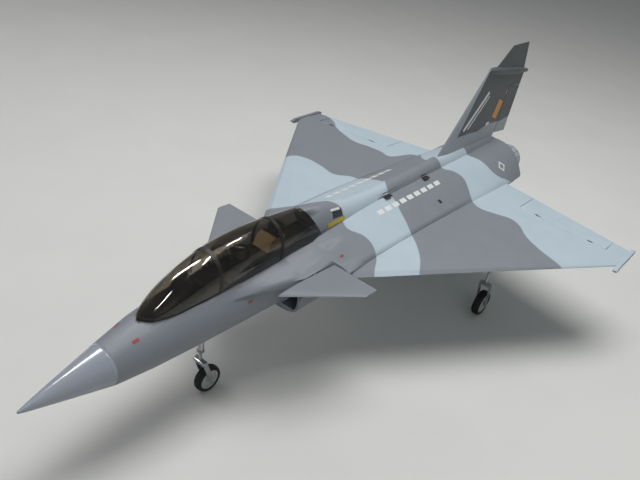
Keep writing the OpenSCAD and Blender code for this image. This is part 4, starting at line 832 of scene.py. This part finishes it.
# Power. A shrink-wrapped battery in the bay under the hatch, held down by a woven strap, with two wrapped
# speed controllers behind it.
CREASE_MM = 14.3
RIB_MM = 1.96
# A wave texture turns through 20 radians in one unit of its scale
WAVE_TURN = 20.0
wraps = {"battery": ("blue_shrink_film", "#23415f", "#325a82"),
         "speed_controllers": ("red_shrink_film", "#5c2323", "#813030")}
for node, (name, deep, bright) in wraps.items():
    # Heat-shrunk film: glossy, pulled into soft creases, with painted shade darkening their hollows
    wrap, tree, shader = new_material(name, Roughness=0.25, IOR=1.5)
    crease = two_tone(tree, shader, deep, bright, CREASE_MM, detail=3.0)
    pull = add_node(tree, "ShaderNodeBump", {"Height": crease, "Strength": 0.25, "Distance": 0.8 * MM})
    tree.links.new(pull.outputs["Normal"], shader.inputs["Normal"])
    dress(smooth_copy(node), wrap)
# Woven web: black and dull, ribbed across
web, tree, shader = new_material("woven_strap_web", Roughness=0.8)
place = add_node(tree, "ShaderNodeTexCoord")
weave = add_node(tree, "ShaderNodeTexWave", {"Vector": place.outputs["Object"],
                                             "Scale": 2 * math.pi / (WAVE_TURN * RIB_MM * MM)},
                 bands_direction="Y")
tint = add_node(tree, "ShaderNodeMix", {"Factor": weave.outputs["Fac"], "A": hex_colour("#121212"),
                                        "B": hex_colour("#2c2c2c")}, data_type="RGBA")
rib = add_node(tree, "ShaderNodeBump", {"Height": weave.outputs["Fac"], "Strength": 0.4,
                                        "Distance": 0.4 * MM})
tree.links.new(tint.outputs["Result"], shader.inputs["Base Color"])
tree.links.new(rib.outputs["Normal"], shader.inputs["Normal"])
dress(smooth_copy("battery_strap"), web)

# Trim films. Plain bars, stripes, tabs and hollow frames cut from thin self-adhesive vinyl and pressed on to
# the paint, in white, yellow, orange, red and dark grey.
FILM_LIFT = 0.15
FILM_T = 0.12
FILM_REACH = 12.0
FILM_CUTS = 7
RUBBED_MM = 11.1
VINYL = {"white": ("#c9cdcb", "#e2e4e0"), "yellow": ("#b39a1c", "#d0b62c"), "orange": ("#b87a22", "#d2922f"),
         "red": ("#8c3a3c", "#a54a4a"), "dark_grey": ("#2a2d30", "#3a3e41")}
films = {}
for colour, (deep, bright) in VINYL.items():
    # Calendered vinyl: even colour under a soft gloss, a little uneven where it was rubbed down
    films[colour], tree, shader = new_material(colour + "_vinyl_film", IOR=1.5)
    rubbed = two_tone(tree, shader, deep, bright, RUBBED_MM, detail=4.0)
    gloss = add_node(tree, "ShaderNodeMapRange", {"Value": rubbed, "To Min": 0.30, "To Max": 0.46})
    tree.links.new(gloss.outputs["Result"], shader.inputs["Roughness"])


def film(name, colour, node, start, end, width, bars=1, share=1.0, frame_mm=0.0, lift=FILM_LIFT):
    """Row of vinyl bars, in mm, from one spot to another on a node's skin. A framed one is cut hollow."""
    start, end = at(*start), at(*end)
    middle, run = (start + end) / 2, end - start
    facing = skins[node].closest_point_on_mesh(middle)[2]
    along = (run - facing * run.dot(facing)).normalized()
    pitch = run.length / bars
    bpy.ops.object.select_all(action="DESELECT")
    bpy.ops.mesh.primitive_plane_add(size=1.0)
    piece = bpy.context.object
    bpy.ops.object.mode_set(mode="EDIT")
    bpy.ops.transform.resize(value=(pitch * share, width * MM, 1))
    if frame_mm:
        bpy.ops.mesh.inset(thickness=frame_mm * MM)
        bpy.ops.mesh.delete(type="FACE")
        bpy.ops.mesh.select_all(action="SELECT")
    bpy.ops.mesh.subdivide(number_cuts=FILM_CUTS)
    bpy.ops.transform.translate(value=((pitch - run.length) / 2, 0, 0))
    for _ in range(bars - 1):
        bpy.ops.mesh.duplicate_move(TRANSFORM_OT_translate={"value": (pitch, 0, 0)})
    bpy.ops.object.mode_set(mode="OBJECT")
    turn = Matrix((along, facing.cross(along), facing)).transposed().to_4x4()
    piece.matrix_world = Matrix.Translation(middle + facing * FILM_REACH * MM) @ turn
    press = piece.modifiers.new("press", "SHRINKWRAP")
    press.target = skins[node]
    press.wrap_method = "PROJECT"
    press.use_project_z = True
    press.use_positive_direction = False
    press.use_negative_direction = True
    press.project_limit = 2 * FILM_REACH * MM
    press.offset = lift * MM
    bpy.ops.object.modifier_apply(modifier="press")
    wall = piece.modifiers.new("wall", "SOLIDIFY")
    wall.thickness = FILM_T * MM
    wall.offset = 1
    bpy.ops.object.modifier_apply(modifier="wall")
    finished(piece, name, body_of_node[node], films[colour])


film("left_body_bars", "white", "centre_fuselage", (37, 616, 37), (37, 817, 37), 9.0, bars=9, share=0.72)
film("right_body_bars", "white", "centre_fuselage", (-66, 604, 25), (-66, 806, 25), 13.0, bars=9, share=0.72)
film("flank_tab", "dark_grey", "centre_fuselage", (68, 771, 23), (68, 779, 23), 8.0)
film("spine_bar", "yellow", "dorsal_spine", (24.4, 499, 49.5), (22, 545, 47.5), 7.5)
film("deck_patch", "dark_grey", "dorsal_spine", (19, 514, 62), (17, 541, 58), 13.0)
film("deck_strip", "white", "dorsal_spine", (15.5, 512, 69), (13.5, 537, 64), 4.0, lift=0.4)
for side, hand in HANDS:
    film("nose_tab_" + hand, "red", "front_fuselage", (side * 24, 138, 19), (side * 24, 147, 19), 5.0)
    film("bay_tab_" + hand, "red", "front_fuselage", (side * 45, 312, 4), (side * 45, 320, 4), 4.0)
    film("intake_tab_" + hand, "red", "centre_fuselage", (side * 68, 482, 22), (side * 68, 490, 22), 4.0)
    film("tail_frame_" + hand, "white", "centre_fuselage", (side * 69, 1016, 19), (side * 65, 1028, 31), 17.0,
         frame_mm=3.0)
    film("fin_stripe_wide_" + hand, "white", "fin", (side * 5, 932, 101), (side * 4, 1006, 168), 7.0)
    film("fin_stripe_narrow_" + hand, "white", "fin", (side * 5, 948, 101), (side * 4, 1012, 159), 3.5)
    film("fin_tab_" + hand, "white", "fin", (side * 4, 1030, 94), (side * 4, 1044, 94), 7.0)
    film("fin_panel_border_" + hand, "dark_grey", "fin", (side * 4, 1060, 100), (side * 3, 1078, 140), 29.0)
    film("fin_panel_" + hand, "orange", "fin", (side * 4, 1061, 102), (side * 3, 1077, 138), 25.0, lift=0.4)

size = {"cad": [list(c) for c in cad_box], "visual": [list(c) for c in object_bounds()]}
